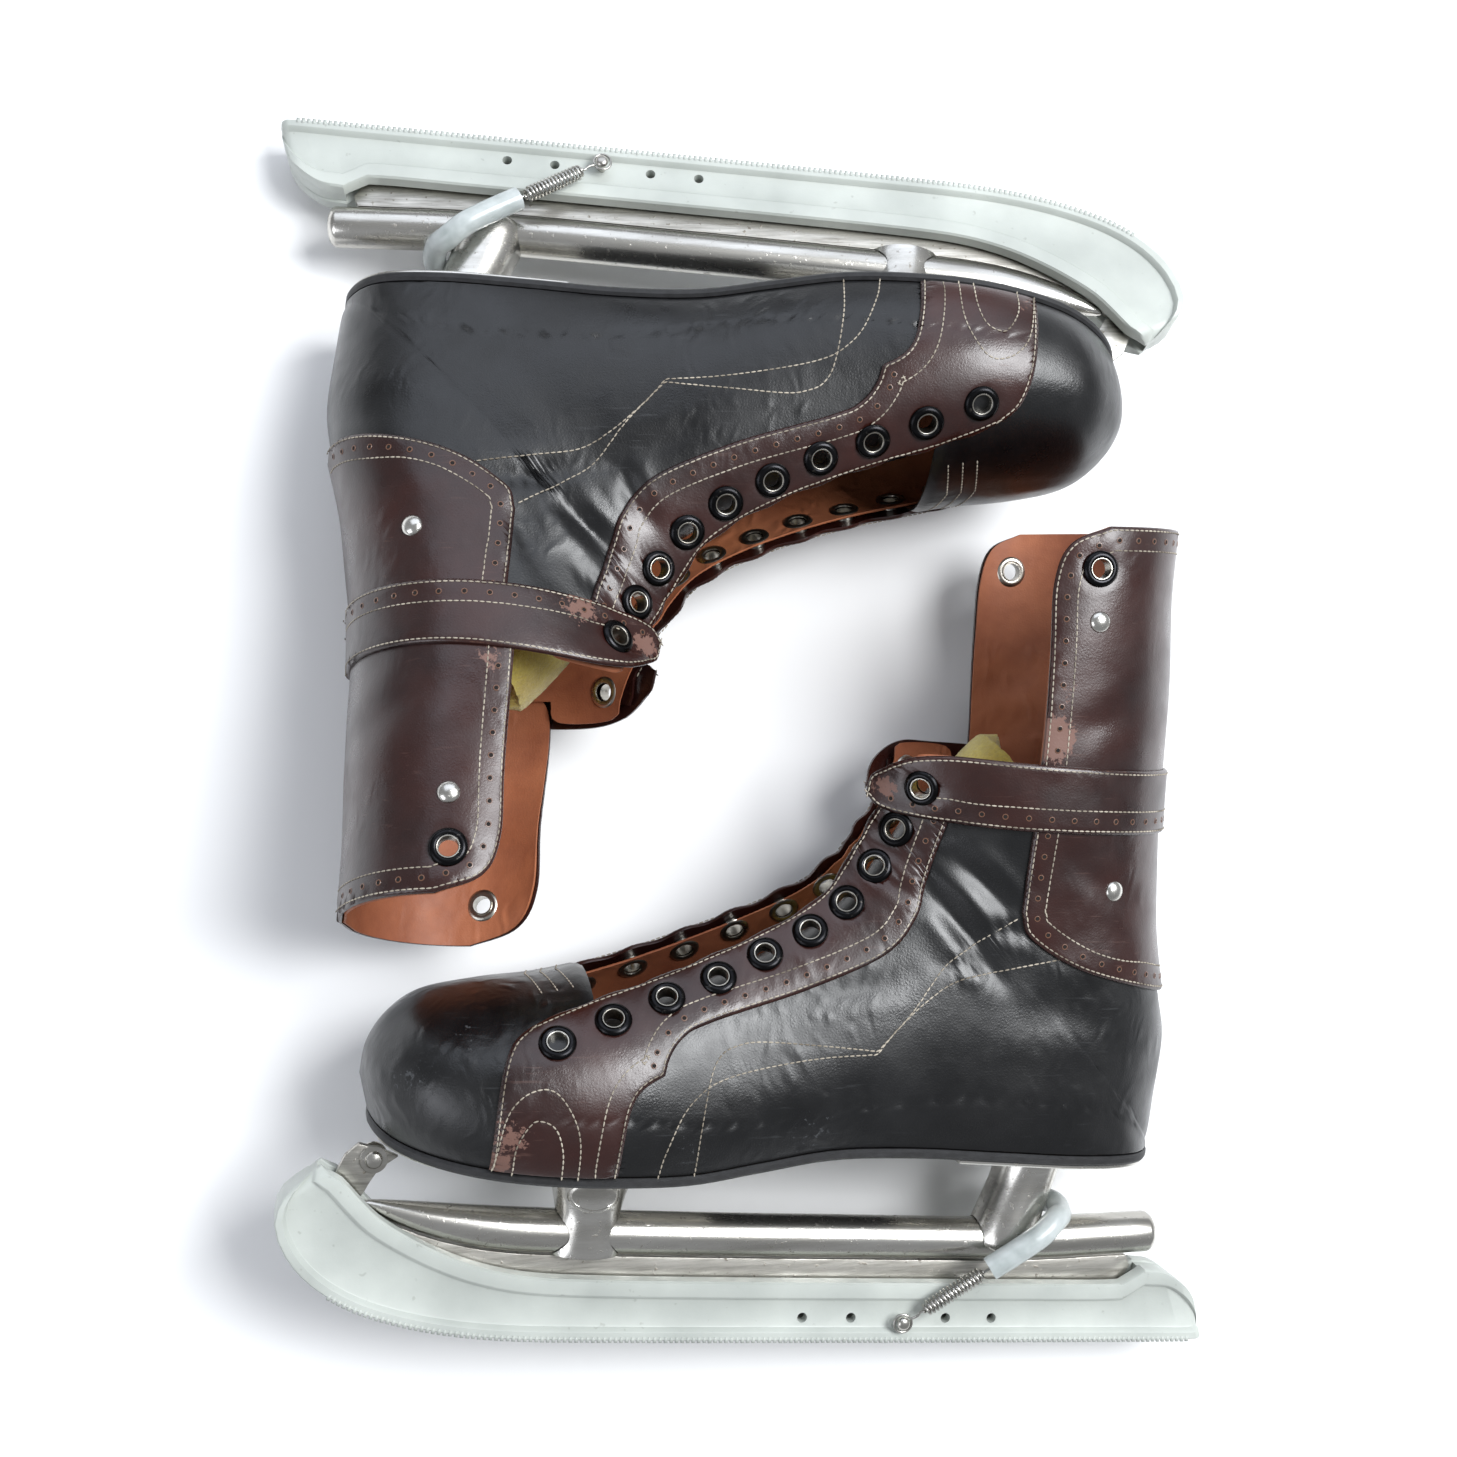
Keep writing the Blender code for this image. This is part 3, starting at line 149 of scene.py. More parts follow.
class Boot:  # the outer face of the black leather, by (section, height, side)
    def __init__(self, foot):
        self.foot = foot
        self.outward = 1 if foot == "left" else -1
        rows = np.array(formRows)
        rows[:, 0] += cuffLean[foot] * np.clip((rows[:, 1] - 125.0) / 70.0, 0, 1)
        rows[:, 7] *= -self.outward
        before = rows[1].copy()
        before[4:6] *= -1
        self.rows = np.vstack([before, rows, 2 * rows[-1] - rows[-2]])
        self.last = len(formRows) - 1
        self.tried = np.linspace(0, self.last, 1301)
        self.found = self.section(self.tried)
        self.random = np.random.default_rng(7 if foot == "left" else 11)
        self.waves = self.random.uniform(-1, 1, (9, 4))

    def section(self, u):
        u = np.clip(np.atleast_1d(np.asarray(u, float)), 0.0, self.last - 1e-6)
        k = u.astype(int)
        t = (u - k)[:, None]
        a, b, c, d = (self.rows[k + i] for i in range(4))
        row = 0.5 * (2 * b + (c - a) * t + (2 * a - 5 * b + 4 * c - d) * t ** 2
                     + (3 * b - a - 3 * c + d) * t ** 3)
        row[:, 4] = np.where(u < heelCorner, np.maximum(row[:, 4], 0.0), 0.0)
        return row

    def bare(self, u, height, side):
        u, height, side = (np.asarray(v, float) for v in (u, height, side))
        over, under = height > 1, (height < 0) & (u > heelCorner)
        side = np.where(over | under, -side, side)
        h = np.clip(np.where(over, 2 - height, np.where(under, -height, height)), 0.0, 1.0)
        bx, bz, fx, fz, sole, wide, at, shift = self.section(u).T
        s = (1 - np.cos(np.pi * h)) / 2
        rise = 1 - np.clip(1 - s / at, 0, 1) ** 2
        low = np.sqrt(sole ** 2 + np.maximum(wide ** 2 - sole ** 2, 0.0) * rise)
        high = wide * np.maximum(0.0, 1 - np.clip((s - at) / (1 - at), 0,
                                                  1) ** domePower) ** (1 / domePower)
        half = np.where(s < at, low, high)
        return np.stack([bx + (fx - bx) * s, shift + side * half, bz + (fz - bz) * s], 1)

    def normal(self, u, height, side):
        u, height, side = np.broadcast_arrays(*(np.atleast_1d(np.asarray(v, float)) for v in (u, height,
                                                                                              side)))
        row = self.section(u)
        chord = np.stack([row[:, 2] - row[:, 0], 0 * u, row[:, 3] - row[:, 1]], 1)
        chord /= np.linalg.norm(chord, axis=1)[:, None]
        along = self.bare(u + 0.15, height, side) - self.bare(np.maximum(u - 0.15, 0.01), height, side)
        across = self.bare(u, height + 0.02, side) - self.bare(u, height - 0.02, side)
        out = np.cross(along, across) * side[:, None]
        out /= np.maximum(np.linalg.norm(out, axis=1), 1e-9)[:, None]
        flat = np.clip(1 - height / 0.3, 0, 1)
        flat = flat ** 2 * (3 - 2 * flat) * np.minimum(1.0, row[:, 4] / 10.0) * (u < heelCorner)
        out -= chord * (np.sum(out * chord, 1) * flat)[:, None]
        out /= np.maximum(np.linalg.norm(out, axis=1), 1e-9)[:, None]
        ahead = np.stack([chord[:, 2], 0 * u, -chord[:, 0]], 1)
        return np.where((u < 0.02)[:, None], ahead, out)

    def crumple(self, spots, side):  # how far worn leather has sunk or risen, in mm
        x, z = spots[:, 0], spots[:, 2]
        rise = np.zeros(len(x))
        for x0, z0, x1, z1, depth, width in creases[self.foot]:
            dx, dz = x1 - x0, z1 - z0
            length = math.hypot(dx, dz)
            t = ((x - x0) * dx + (z - z0) * dz) / length ** 2
            off = ((x - x0) * dz - (z - z0) * dx) / length
            off = off + 1.6 * np.sin(t * 3.1 + x0)  # no crease runs quite straight
            ends = np.exp(-(np.maximum(np.maximum(-t, t - 1), 0) * length / 7.0) ** 2)
            taper = ends * np.clip(0.35 + 0.65 * np.sin(np.pi * np.clip(t, 0, 1)), 0, 1)
            dent = np.exp(-(off / width) ** 2) - 0.45 * np.exp(-((np.abs(off) - 2.1 * width) / width) ** 2)
            rise -= depth * taper * dent
        for a, b, c, d in self.waves:
            rise += 0.16 * np.sin(x * (0.05 + 0.05 * a) + z * (0.06 + 0.05 * b) + 6 * c + side * 2 * d)
        calm = np.clip((z - 66.0) / 26.0, 0, 1)
        calm = calm ** 2 * (3 - 2 * calm) * np.clip((286.0 - x) / 20.0, 0.2, 1)
        return rise * calm

    def at(self, u, height, side, lift, worn=1.0):
        u, height, side = np.broadcast_arrays(*(np.atleast_1d(np.asarray(v, float)) for v in (u, height,
                                                                                              side)))
        spots = self.bare(u, height, side)
        lift = np.asarray(lift, float) + worn * self.crumple(spots, side)
        return spots + self.normal(u, height, side) * (lift * np.ones(len(u)))[:, None]

    def backX(self, z):
        rows = self.found[self.tried >= heelCorner]
        return np.interp(z, rows[:, 1], rows[:, 0])

    def soleLine(self, x, column):  # a value along the sole: 1 its height, 4 its half width, 7 its shift
        rows = self.found[self.tried <= heelCorner][::-1]
        return np.interp(x, rows[:, 0], rows[:, column])

    def find(self, x, z):  # (section, height) of points seen from the side
        x, z = np.atleast_1d(x).astype(float)[:, None], np.atleast_1d(z).astype(float)[:, None]
        rows = self.found
        dx, dz = rows[:, 2] - rows[:, 0], rows[:, 3] - rows[:, 1]
        off = dx * (z - rows[:, 1]) - dz * (x - rows[:, 0])
        size = dx ** 2 + dz ** 2
        s = (dx * (x - rows[:, 0]) + dz * (z - rows[:, 1])) / size
        miss = np.abs(off) / np.sqrt(size) + 50 * np.maximum(0, -s - 0.02) + 50 * np.maximum(0, s - 1.02)
        k = np.clip(np.argmin(miss, 1), 1, len(rows) - 2)
        i = np.arange(len(k))
        a, b = off[i, k - 1], off[i, k + 1]
        share = np.clip(a / np.where(a == b, 1, a - b), 0, 1)
        u = self.tried[k - 1] + (self.tried[k + 1] - self.tried[k - 1]) * share
        return u, np.arccos(1 - 2 * np.clip(s[i, k], 0, 1)) / np.pi

    def slide(self, places, move):  # the places after a small move over the surface, in mm
        u, h, side = places
        du = (self.bare(u + 0.05, h, side) - self.bare(u - 0.05, h, side)) / 0.1
        dh = (self.bare(u, h + 0.01, side) - self.bare(u, h - 0.01, side)) / 0.02
        aa, ab, bb = np.sum(du * du, 1), np.sum(du * dh, 1), np.sum(dh * dh, 1)
        pa, pb = np.sum(move * du, 1), np.sum(move * dh, 1)
        size = np.maximum(aa * bb - ab ** 2, 1e-6)
        return u + (pa * bb - pb * ab) / size, h + (pb * aa - pa * ab) / size, side

    def frameAt(self, places):  # outward and ahead at each place
        u, h, side = places
        out = self.normal(u, h, side)
        ahead = self.bare(np.asarray(u) + 0.05, h, side) - self.bare(np.asarray(u) - 0.05, h, side)
        ahead -= out * np.sum(out * ahead, 1)[:, None]
        return out, ahead / np.linalg.norm(ahead, axis=1)[:, None]


boots = {foot: Boot(foot) for foot in ("left", "right")}


def path(boot, runs, step=2.0, side=1, reach=False):  # places along runs of side-view points
    us, hs = [], []
    for run in runs:
        points = []
        for x, z in run:
            if x == "back":
                points.append((float(boot.backX(z)), z))
            elif z == "sole":
                points.append((x, float(boot.soleLine(x, 1))))
            else:
                if x > 100.0:
                    x = x - throatPull[boot.foot][side] * min(1.0, max(0.0, (z - 120.0) / 60.0))
                start = float(boot.backX(z))
                factor = cuffReach[boot.foot][side] if reach and z > 196 else 1.0
                points.append((start + (x - start) * factor, z))
        line = smoothLine(points, step)
        u, h = boot.find(line[:, 0], line[:, 1])
        back, sole = boot.tried >= heelCorner, boot.tried <= heelCorner
        for end in (0, -1):
            if run[end][0] == "back":
                u[end] = np.interp(line[end, 1], boot.found[back][:, 1], boot.tried[back])
                h[end] = 0.0
            elif run[end][1] == "sole":
                u[end] = np.interp(line[end, 0], boot.found[sole][::-1, 0], boot.tried[sole][::-1])
                h[end] = 0.0
        if us:
            u, h = u[1:], h[1:]
        us.append(u)
        hs.append(h)
    u, h = np.concatenate(us), np.concatenate(hs)
    keep = np.ones(len(u), bool)
    keep[1:] = np.hypot(np.diff(u) * 15, np.diff(h) * 110) > 0.4
    return u[keep], h[keep], np.full(keep.sum(), float(side))


def shifted(boot, places, distance):  # the same line moved sideways over the leather
    u, h, side = places
    spots = boot.bare(u, h, side)
    ahead = np.gradient(spots, axis=0)
    ahead /= np.maximum(np.linalg.norm(ahead, axis=1), 1e-9)[:, None]
    across = np.cross(boot.normal(u, h, side), ahead) * side[:, None]
    half = boot.slide(places, across * distance / 2)
    return boot.slide(half, across * distance / 2)


def trimmed(places, first, last):  # a line without a few points at its ends
    return tuple(part[first:len(part) - last] for part in places)


# panels of leather

sectionSpan, roundSpan = 9.0, 95.0  # how a place is laid out flat


def onPaper(u, h, side):
    notch = 6.0 * np.maximum(0.0, heelCorner - u)
    return np.stack([u * sectionSpan, side * (h * roundSpan + notch)], 1)


def offPaper(flat):
    u = flat[:, 0] / sectionSpan
    side = np.where(flat[:, 1] >= 0, 1.0, -1.0)
    notch = 6.0 * np.maximum(0.0, heelCorner - u)
    return u, (np.abs(flat[:, 1]) - notch) / roundSpan, side


def insideRing(points, ring):
    ax, ay = ring[:, 0], ring[:, 1]
    bx, by = np.roll(ax, -1), np.roll(ay, -1)
    px, py = points[:, :1], points[:, 1:]
    with np.errstate(divide="ignore", invalid="ignore"):
        crossing = ((ay > py) != (by > py)) & (px < ax + (py - ay) * (bx - ax) / (by - ay))
    return crossing.sum(1) % 2 == 1


def fromRing(points, ring):  # distance to the nearest edge of the ring
    a, b = ring, np.roll(ring, -1, 0)
    ab = b - a
    size = np.maximum(np.sum(ab ** 2, 1), 1e-12)
    ap = points[:, None, :] - a[None]
    t = np.clip(np.sum(ap * ab, 2) / size, 0, 1)
    return np.linalg.norm(ap - t[..., None] * ab, axis=2).min(1)


def buildMesh(name, foot, points, faces, material, attributes=None, smooth=60):
    mesh = bpy.data.meshes.new(name)
    mesh.from_pydata([tuple(p) for p in toWorld(foot, points)], [], [tuple(f) for f in faces])
    mesh.materials.append(material)
    for key, values in (attributes or {}).items():
        mesh.attributes.new(key, "FLOAT", "POINT").data.foreach_set("value", np.asarray(values, np.float32))
    piece = bpy.data.objects.new(name, mesh)
    bpy.context.scene.collection.objects.link(piece)
    work = bmesh.new()
    work.from_mesh(mesh)
    bmesh.ops.remove_doubles(work, verts=work.verts, dist=0.00002)
    bmesh.ops.recalc_face_normals(work, faces=work.faces)
    if work.calc_volume(signed=True) < 0:
        bmesh.ops.reverse_faces(work, faces=work.faces)
    work.to_mesh(mesh)
    work.free()
    mesh.shade_smooth()
    mesh.set_sharp_from_angle(angle=math.radians(smooth))
    return piece


def bothSides(left, right):  # closes the two halves of a piece that wraps round the heel
    u = np.concatenate([left[0], right[0][1:-1][::-1]])
    h = np.concatenate([left[1], right[1][1:-1][::-1]])
    side = np.concatenate([left[2], right[2][1:-1][::-1]])
    return u, h, side


def panel(name, foot, ring, layer, material, holes=(), spacing=(1.2, 2.0), rubs=(), roll=0.7,
          lightEdge=1.0):
    boot = boots[foot]
    u, h, side = ring
    flat = onPaper(u, h, side)
    spots = boot.bare(u, h, side)
    ahead = np.roll(spots, -1, 0) - np.roll(spots, 1, 0)
    ahead /= np.maximum(np.linalg.norm(ahead, axis=1), 1e-9)[:, None]
    across = np.cross(boot.normal(u, h, side), ahead)
    turn = 1 if insideRing(onPaper(*boot.slide(ring, across * 1.5)), flat).mean() > 0.5 else -1
    sheets, depths = [flat], [np.zeros(len(flat))]
    for distance in (0.35, 1.1):
        inset = onPaper(*boot.slide(ring, across * turn * distance))
        good = insideRing(inset, flat) & (fromRing(inset, flat) > 0.25 * distance)
        sheets.append(inset[good])
        depths.append(np.full(good.sum(), distance))
    edges = [(k, (k + 1) % len(flat)) for k in range(len(flat))]
    holeRings = []
    first = sum(len(s) for s in sheets)
    for place, radius in holes:
        sides = 18
        angles = np.arange(sides) * 2 * np.pi / sides
        here = tuple(np.full(sides, float(v)) for v in place)
        out, front = boot.frameAt(here)
        third = np.cross(out, front)
        circle = radius * (np.cos(angles)[:, None] * front + np.sin(angles)[:, None] * third)
        hole = onPaper(*boot.slide(here, circle))
        sheets.append(hole)
        depths.append(np.zeros(sides))
        edges += [(first + k, first + (k + 1) % sides) for k in range(sides)]
        first += sides
        holeRings.append(hole)
    low, high = flat.min(0), flat.max(0)
    gx, gy = np.meshgrid(np.arange(low[0], high[0], spacing[0]), np.arange(low[1], high[1], spacing[1]))
    gx[1::2] += spacing[0] / 2
    grid = np.stack([gx.ravel(), gy.ravel()], 1)
    grid = grid[insideRing(grid, flat)]
    grid = grid[fromRing(grid, flat) > 1.15]
    for hole in holeRings:
        grid = grid[~insideRing(grid, hole)]
        grid = grid[fromRing(grid, hole) > 0.7]
    sheets.append(grid)
    depths.append(np.full(len(grid), 99.0))
    flatPoints, depth = np.vstack(sheets), np.concatenate(depths)
    verts, _, faces, origin, _, _ = geometry.delaunay_2d_cdt([Vector(p) for p in flatPoints], edges, [], 0,
                                                             1e-5)
    flatPoints = np.array([tuple(v) for v in verts])
    depth = np.array([depth[source[0]] if source else 0.0 for source in origin])
    faces = np.array([list(f) for f in faces if len(f) == 3])
    middle = flatPoints[faces].mean(1)
    good = insideRing(middle, flat)
    for hole in holeRings:
        good &= ~insideRing(middle, hole)
    faces = faces[good]
    place = offPaper(flatPoints)
    rolled = roll * (1 - np.sqrt(np.clip(1 - (1 - np.minimum(depth, 1.2) / 1.2) ** 2, 0, 1)))
    rolled = np.where(depth > 1.2, 0, rolled)
    outer = boot.at(*place, layer[1] - rolled)
    inner = boot.at(*place, layer[0])
    rim = boot.at(u, h, side, layer[1])
    away = np.concatenate([fromRing3(outer[k:k + 2000], rim) for k in range(0, len(outer), 2000)])
    count = len(outer)
    body = [tuple(f) for f in faces] + [tuple(count + k for k in f[::-1]) for f in faces]
    seen = {(f[i], f[(i + 1) % 3]) for f in faces for i in range(3)}
    for a, b in seen:
        if (b, a) not in seen:
            body += [(b, a, count + a), (b, count + a, count + b)]
    rub = np.zeros(count)
    for x, z, sign, radius, strength in rubs:
        gap = np.hypot(outer[:, 0] - x, outer[:, 2] - z)
        rub = np.maximum(rub, strength * np.clip(1 - gap / radius, 0, 1) * (np.sign(outer[:, 1]) == sign))
    values = {"edge": np.concatenate([away, away]) * lightEdge, "rub": np.concatenate([rub, rub])}
    return buildMesh(name, foot, np.vstack([outer, inner]), body, material, values)


def fromRing3(points, ring):
    return np.linalg.norm(points[:, None, :] - ring[None], axis=2).min(1)


# materials

def hexColour(text):  # sRGB hex to linear
    parts = [int(text[k:k + 2], 16) / 255 for k in (1, 3, 5)]
    return tuple(c / 12.92 if c <= 0.04045 else ((c + 0.055) / 1.055) ** 2.4 for c in parts) + (1.0,)


def addNode(tree, kind, inputs=None, stops=(), **settings):  # stops: a colour ramp's (place, colour) pairs
    node = tree.nodes.new(kind)
    if stops:
        marks = node.color_ramp.elements
        marks[0].position, marks[1].position = stops[0][0], stops[-1][0]
        for place, _ in stops[1:-1]:
            marks.new(place)
        for mark, (_, colour) in zip(marks, stops):
            mark.color = hexColour(colour) if isinstance(colour, str) else (colour, colour, colour, 1.0)
    for key, value in settings.items():
        setattr(node, key, value)
    for key, value in (inputs or {}).items():
        socket = node.inputs[key]
        if isinstance(value, bpy.types.NodeSocket):
            tree.links.new(value, socket)
        else:
            socket.default_value = value
    return node


def newMaterial(name, **shaderSettings):
    material = bpy.data.materials.new(name)
    material.use_nodes = True
    tree = material.node_tree
    shader = tree.nodes["Principled BSDF"]
    for key, value in shaderSettings.items():
        shader.inputs[key.replace("_", " ")].default_value = value
    return material, tree, shader


leatherLooks = {
    # box calf, drum dyed black and polished: cool highlights, fine grain, pale scuffs where it was kicked
    "blackBoxCalf": {"deep": "#040405", "mid": "#0b0c0e", "worn": "#55585b", "raw": "#2c2622",
                     "rough": 0.34,
                     "coat": 0.22, "grain": 0.9, "wrinkle": 1.0, "rubbed": 0.45},
    # chrome-tanned side leather, oxblood brown and glazed: darker in the hollows, pink-brown where rubbed









































































































































































































































































































































































































    "oxbloodSideLeather": {"deep": "#1a0908", "mid": "#35150f", "worn": "#77564b", "raw": "#6d4d3c",
                           "rough": 0.31,
                           "coat": 0.30, "grain": 0.8, "wrinkle": 0.7, "rubbed": 0.8},
    # vegetable-tanned split, undyed and sueded by wear: tan, matt, darker with handling
    "tanLiningLeather": {"deep": "#7a412a", "mid": "#b6714c", "worn": "#cf9a70", "raw": "#8a5537",
                         "rough": 0.60,
                         "coat": 0.0, "grain": 1.3, "wrinkle": 1.8, "rubbed": 0.4}}


def leather(name, settings):
    material, tree, shader = newMaterial(name, IOR=1.5)
    spot = addNode(tree, "ShaderNodeTexCoord").outputs["Object"]
    tone = addNode(tree, "ShaderNodeTexNoise",
                   {"Vector": spot, "Scale": 22.0, "Detail": 5.0, "Roughness": 0.6})
    base = addNode(tree, "ShaderNodeValToRGB", {"Fac": tone.outputs["Fac"]},
                   [(0.30, settings["deep"]), (0.72, settings["mid"])]).outputs[0]
    pores = addNode(tree, "ShaderNodeTexVoronoi", {"Vector": spot, "Scale": 900.0, "Randomness": 1.0},
                    feature="DISTANCE_TO_EDGE")  # pebbles about 1.1 mm across
    finePores = addNode(tree, "ShaderNodeTexNoise", {"Vector": spot, "Scale": 2600.0, "Detail": 2.0})
    bend = addNode(tree, "ShaderNodeTexNoise", {"Vector": spot, "Scale": 35.0, "Detail": 2.0})
    pull = addNode(tree, "ShaderNodeVectorMath", {0: bend.outputs["Color"], "Scale": 0.02},
                   operation="SCALE")
    bent = addNode(tree, "ShaderNodeVectorMath", {0: spot, 1: pull.outputs[0]}, operation="ADD")
    stretched = addNode(tree, "ShaderNodeMapping", {"Vector": bent.outputs[0], "Scale": (1.0, 0.45, 1.0)})
    wrinkles = addNode(tree, "ShaderNodeTexNoise",
                       {"Vector": stretched.outputs[0], "Scale": 190.0, "Detail": 4.0, "Roughness": 0.62},
                       noise_type="RIDGED_MULTIFRACTAL")
    patch = addNode(tree, "ShaderNodeTexNoise", {"Vector": spot, "Scale": 16.0, "Detail": 2.0})
    where = addNode(tree, "ShaderNodeValToRGB", {"Fac": patch.outputs["Fac"]},
                    [(0.42, 0.0), (0.62, 1.0)]).outputs[0]
    wrinkled = addNode(tree, "ShaderNodeMath", {0: wrinkles.outputs["Fac"], 1: where}, operation="MULTIPLY")
    # thin pale scratches, seen mostly where the leather was rubbed
    thin = addNode(tree, "ShaderNodeMapping", {"Vector": spot, "Rotation": (0.3, 0.2, 0.7),
                                               "Scale": (60.0, 900.0, 300.0)})
    scratch = addNode(tree, "ShaderNodeTexNoise", {"Vector": thin.outputs[0], "Scale": 1.0, "Detail": 3.0})
    lines = addNode(tree, "ShaderNodeValToRGB", {"Fac": scratch.outputs["Fac"]},
                    [(0.64, 0.0), (0.72, 1.0)]).outputs[0]
    rub = addNode(tree, "ShaderNodeAttribute", attribute_name="rub").outputs["Fac"]
    speck = addNode(tree, "ShaderNodeTexNoise",
                    {"Vector": spot, "Scale": 420.0, "Detail": 5.0, "Roughness": 0.75})
    bare = addNode(tree, "ShaderNodeMath", {0: rub, 1: speck.outputs["Fac"]}, operation="ADD")
    bareMask = addNode(tree, "ShaderNodeValToRGB", {"Fac": bare.outputs[0]},
                       [(0.98, 0.0), (1.16, 1.0)]).outputs[0]
    patchLines = addNode(tree, "ShaderNodeMath",
                         {0: lines, 1: addNode(tree, "ShaderNodeValToRGB", {"Fac": patch.outputs["Fac"]},
                                               [(0.46, 0.03), (0.66, 0.22)]).outputs[0]},
                         operation="MULTIPLY")
    nearRub = addNode(tree, "ShaderNodeMath", {0: rub, 1: 0.9}, operation="MULTIPLY")
    rubLines = addNode(tree, "ShaderNodeMath", {0: lines, 1: nearRub.outputs[0]}, operation="MULTIPLY")
    worn = addNode(tree, "ShaderNodeMath", {0: patchLines.outputs[0], 1: rubLines.outputs[0]},
                   operation="MAXIMUM")
    worn = addNode(tree, "ShaderNodeMath", {0: worn.outputs[0], 1: bareMask}, operation="MAXIMUM")
    wornPart = addNode(tree, "ShaderNodeMath", {0: worn.outputs[0], 1: settings["rubbed"]},
                       operation="MULTIPLY")
    colour = addNode(tree, "ShaderNodeMix",
                     {0: wornPart.outputs[0], 6: base, 7: hexColour(settings["worn"])}, data_type="RGBA",
                     blend_type="MIX").outputs[2]
    # the cut edge is undyed and rubbed pale by wear
    edge = addNode(tree, "ShaderNodeAttribute", attribute_name="edge").outputs["Fac"]
    ragged = addNode(tree, "ShaderNodeMath", {0: speck.outputs["Fac"], 1: 1.1, 2: edge},
                     operation="MULTIPLY_ADD")
    edgeMask = addNode(tree, "ShaderNodeValToRGB", {"Fac": ragged.outputs[0]},
                       [(0.70, 0.85), (1.10, 0.0)]).outputs[0]
    colour = addNode(tree, "ShaderNodeMix", {0: edgeMask, 6: colour, 7: hexColour(settings["raw"])},
                     data_type="RGBA", blend_type="MIX").outputs[2]
    tree.links.new(colour, shader.inputs["Base Color"])
    uneven = addNode(tree, "ShaderNodeTexNoise", {"Vector": spot, "Scale": 60.0, "Detail": 4.0})
    rough = addNode(tree, "ShaderNodeMapRange",
                    {"Value": uneven.outputs["Fac"], "From Min": 0.3, "From Max": 0.7,
                                                 "To Min": settings["rough"] - 0.09,
                                                 "To Max": settings["rough"] + 0.13})
    rougher = addNode(tree, "ShaderNodeMath", {0: worn.outputs[0], 1: 0.3, 2: rough.outputs[0]},
                      operation="MULTIPLY_ADD", use_clamp=True)
    tree.links.new(rougher.outputs[0], shader.inputs["Roughness"])
    shader.inputs["Coat Weight"].default_value = settings["coat"]
    shader.inputs["Coat Roughness"].default_value = 0.28
    grain = addNode(tree, "ShaderNodeMath",
                    {0: finePores.outputs["Fac"], 1: 0.35, 2: pores.outputs["Distance"]},
                    operation="MULTIPLY_ADD")
    normal = addNode(tree, "ShaderNodeBump", {"Height": grain.outputs[0], "Distance": 0.00012
                                              * settings["grain"], "Strength": 0.55}).outputs[0]
    normal = addNode(tree, "ShaderNodeBump",
                     {"Height": wrinkled.outputs[0], "Distance": 0.0011 * settings["wrinkle"],
                      "Strength": 0.55, "Normal": normal}).outputs[0]
    soft = addNode(tree, "ShaderNodeTexNoise", {"Vector": spot, "Scale": 75.0, "Detail": 3.0})
    normal = addNode(tree, "ShaderNodeBump", {"Height": soft.outputs["Fac"], "Distance": 0.0009,
                                              "Strength": 0.30, "Normal": normal}).outputs[0]
    tree.links.new(normal, shader.inputs["Normal"])
    return material


blackLeather = leather("blackBoxCalf", leatherLooks["blackBoxCalf"])
brownLeather = leather("oxbloodSideLeather", leatherLooks["oxbloodSideLeather"])
liningLeather = leather("tanLiningLeather", leatherLooks["tanLiningLeather"])


def waxedThread():  # linen thread, waxed and grimy: ecru, matt, twisted
    material, tree, shader = newMaterial("waxedLinenThread", Roughness=0.78)
    spot = addNode(tree, "ShaderNodeTexCoord").outputs["Object"]
    dirt = addNode(tree, "ShaderNodeTexNoise", {"Vector": spot, "Scale": 90.0, "Detail": 4.0})
    colour = addNode(tree, "ShaderNodeValToRGB", {"Fac": dirt.outputs["Fac"]},
                     [(0.32, "#6e6558"), (0.66, "#b9b0a0")]).outputs[0]
    tree.links.new(colour, shader.inputs["Base Color"])
    twist = addNode(tree, "ShaderNodeTexNoise", {"Vector": spot, "Scale": 3500.0})
    tree.links.new(addNode(tree, "ShaderNodeBump", {"Height": twist.outputs["Fac"], "Distance": 0.0002,
                                                    "Strength": 0.6}).outputs[0], shader.inputs["Normal"])
    return material


def punchedHole():  # painted shade: near-black colour for the shadowed inside of a hole punched through the leather, with a faint speckle
    material, tree, shader = newMaterial("punchedHoleShade", Roughness=0.9)
    spot = addNode(tree, "ShaderNodeTexCoord").outputs["Object"]
    holeShadeSpeckle = addNode(tree, "ShaderNodeTexNoise", {"Vector": spot, "Scale": 400.0})
    colour = addNode(tree, "ShaderNodeValToRGB", {"Fac": holeShadeSpeckle.outputs["Fac"]},
                     [(0.3, "#070606"), (0.8, "#1d1512")]).outputs[0]
    tree.links.new(colour, shader.inputs["Base Color"])
    return material


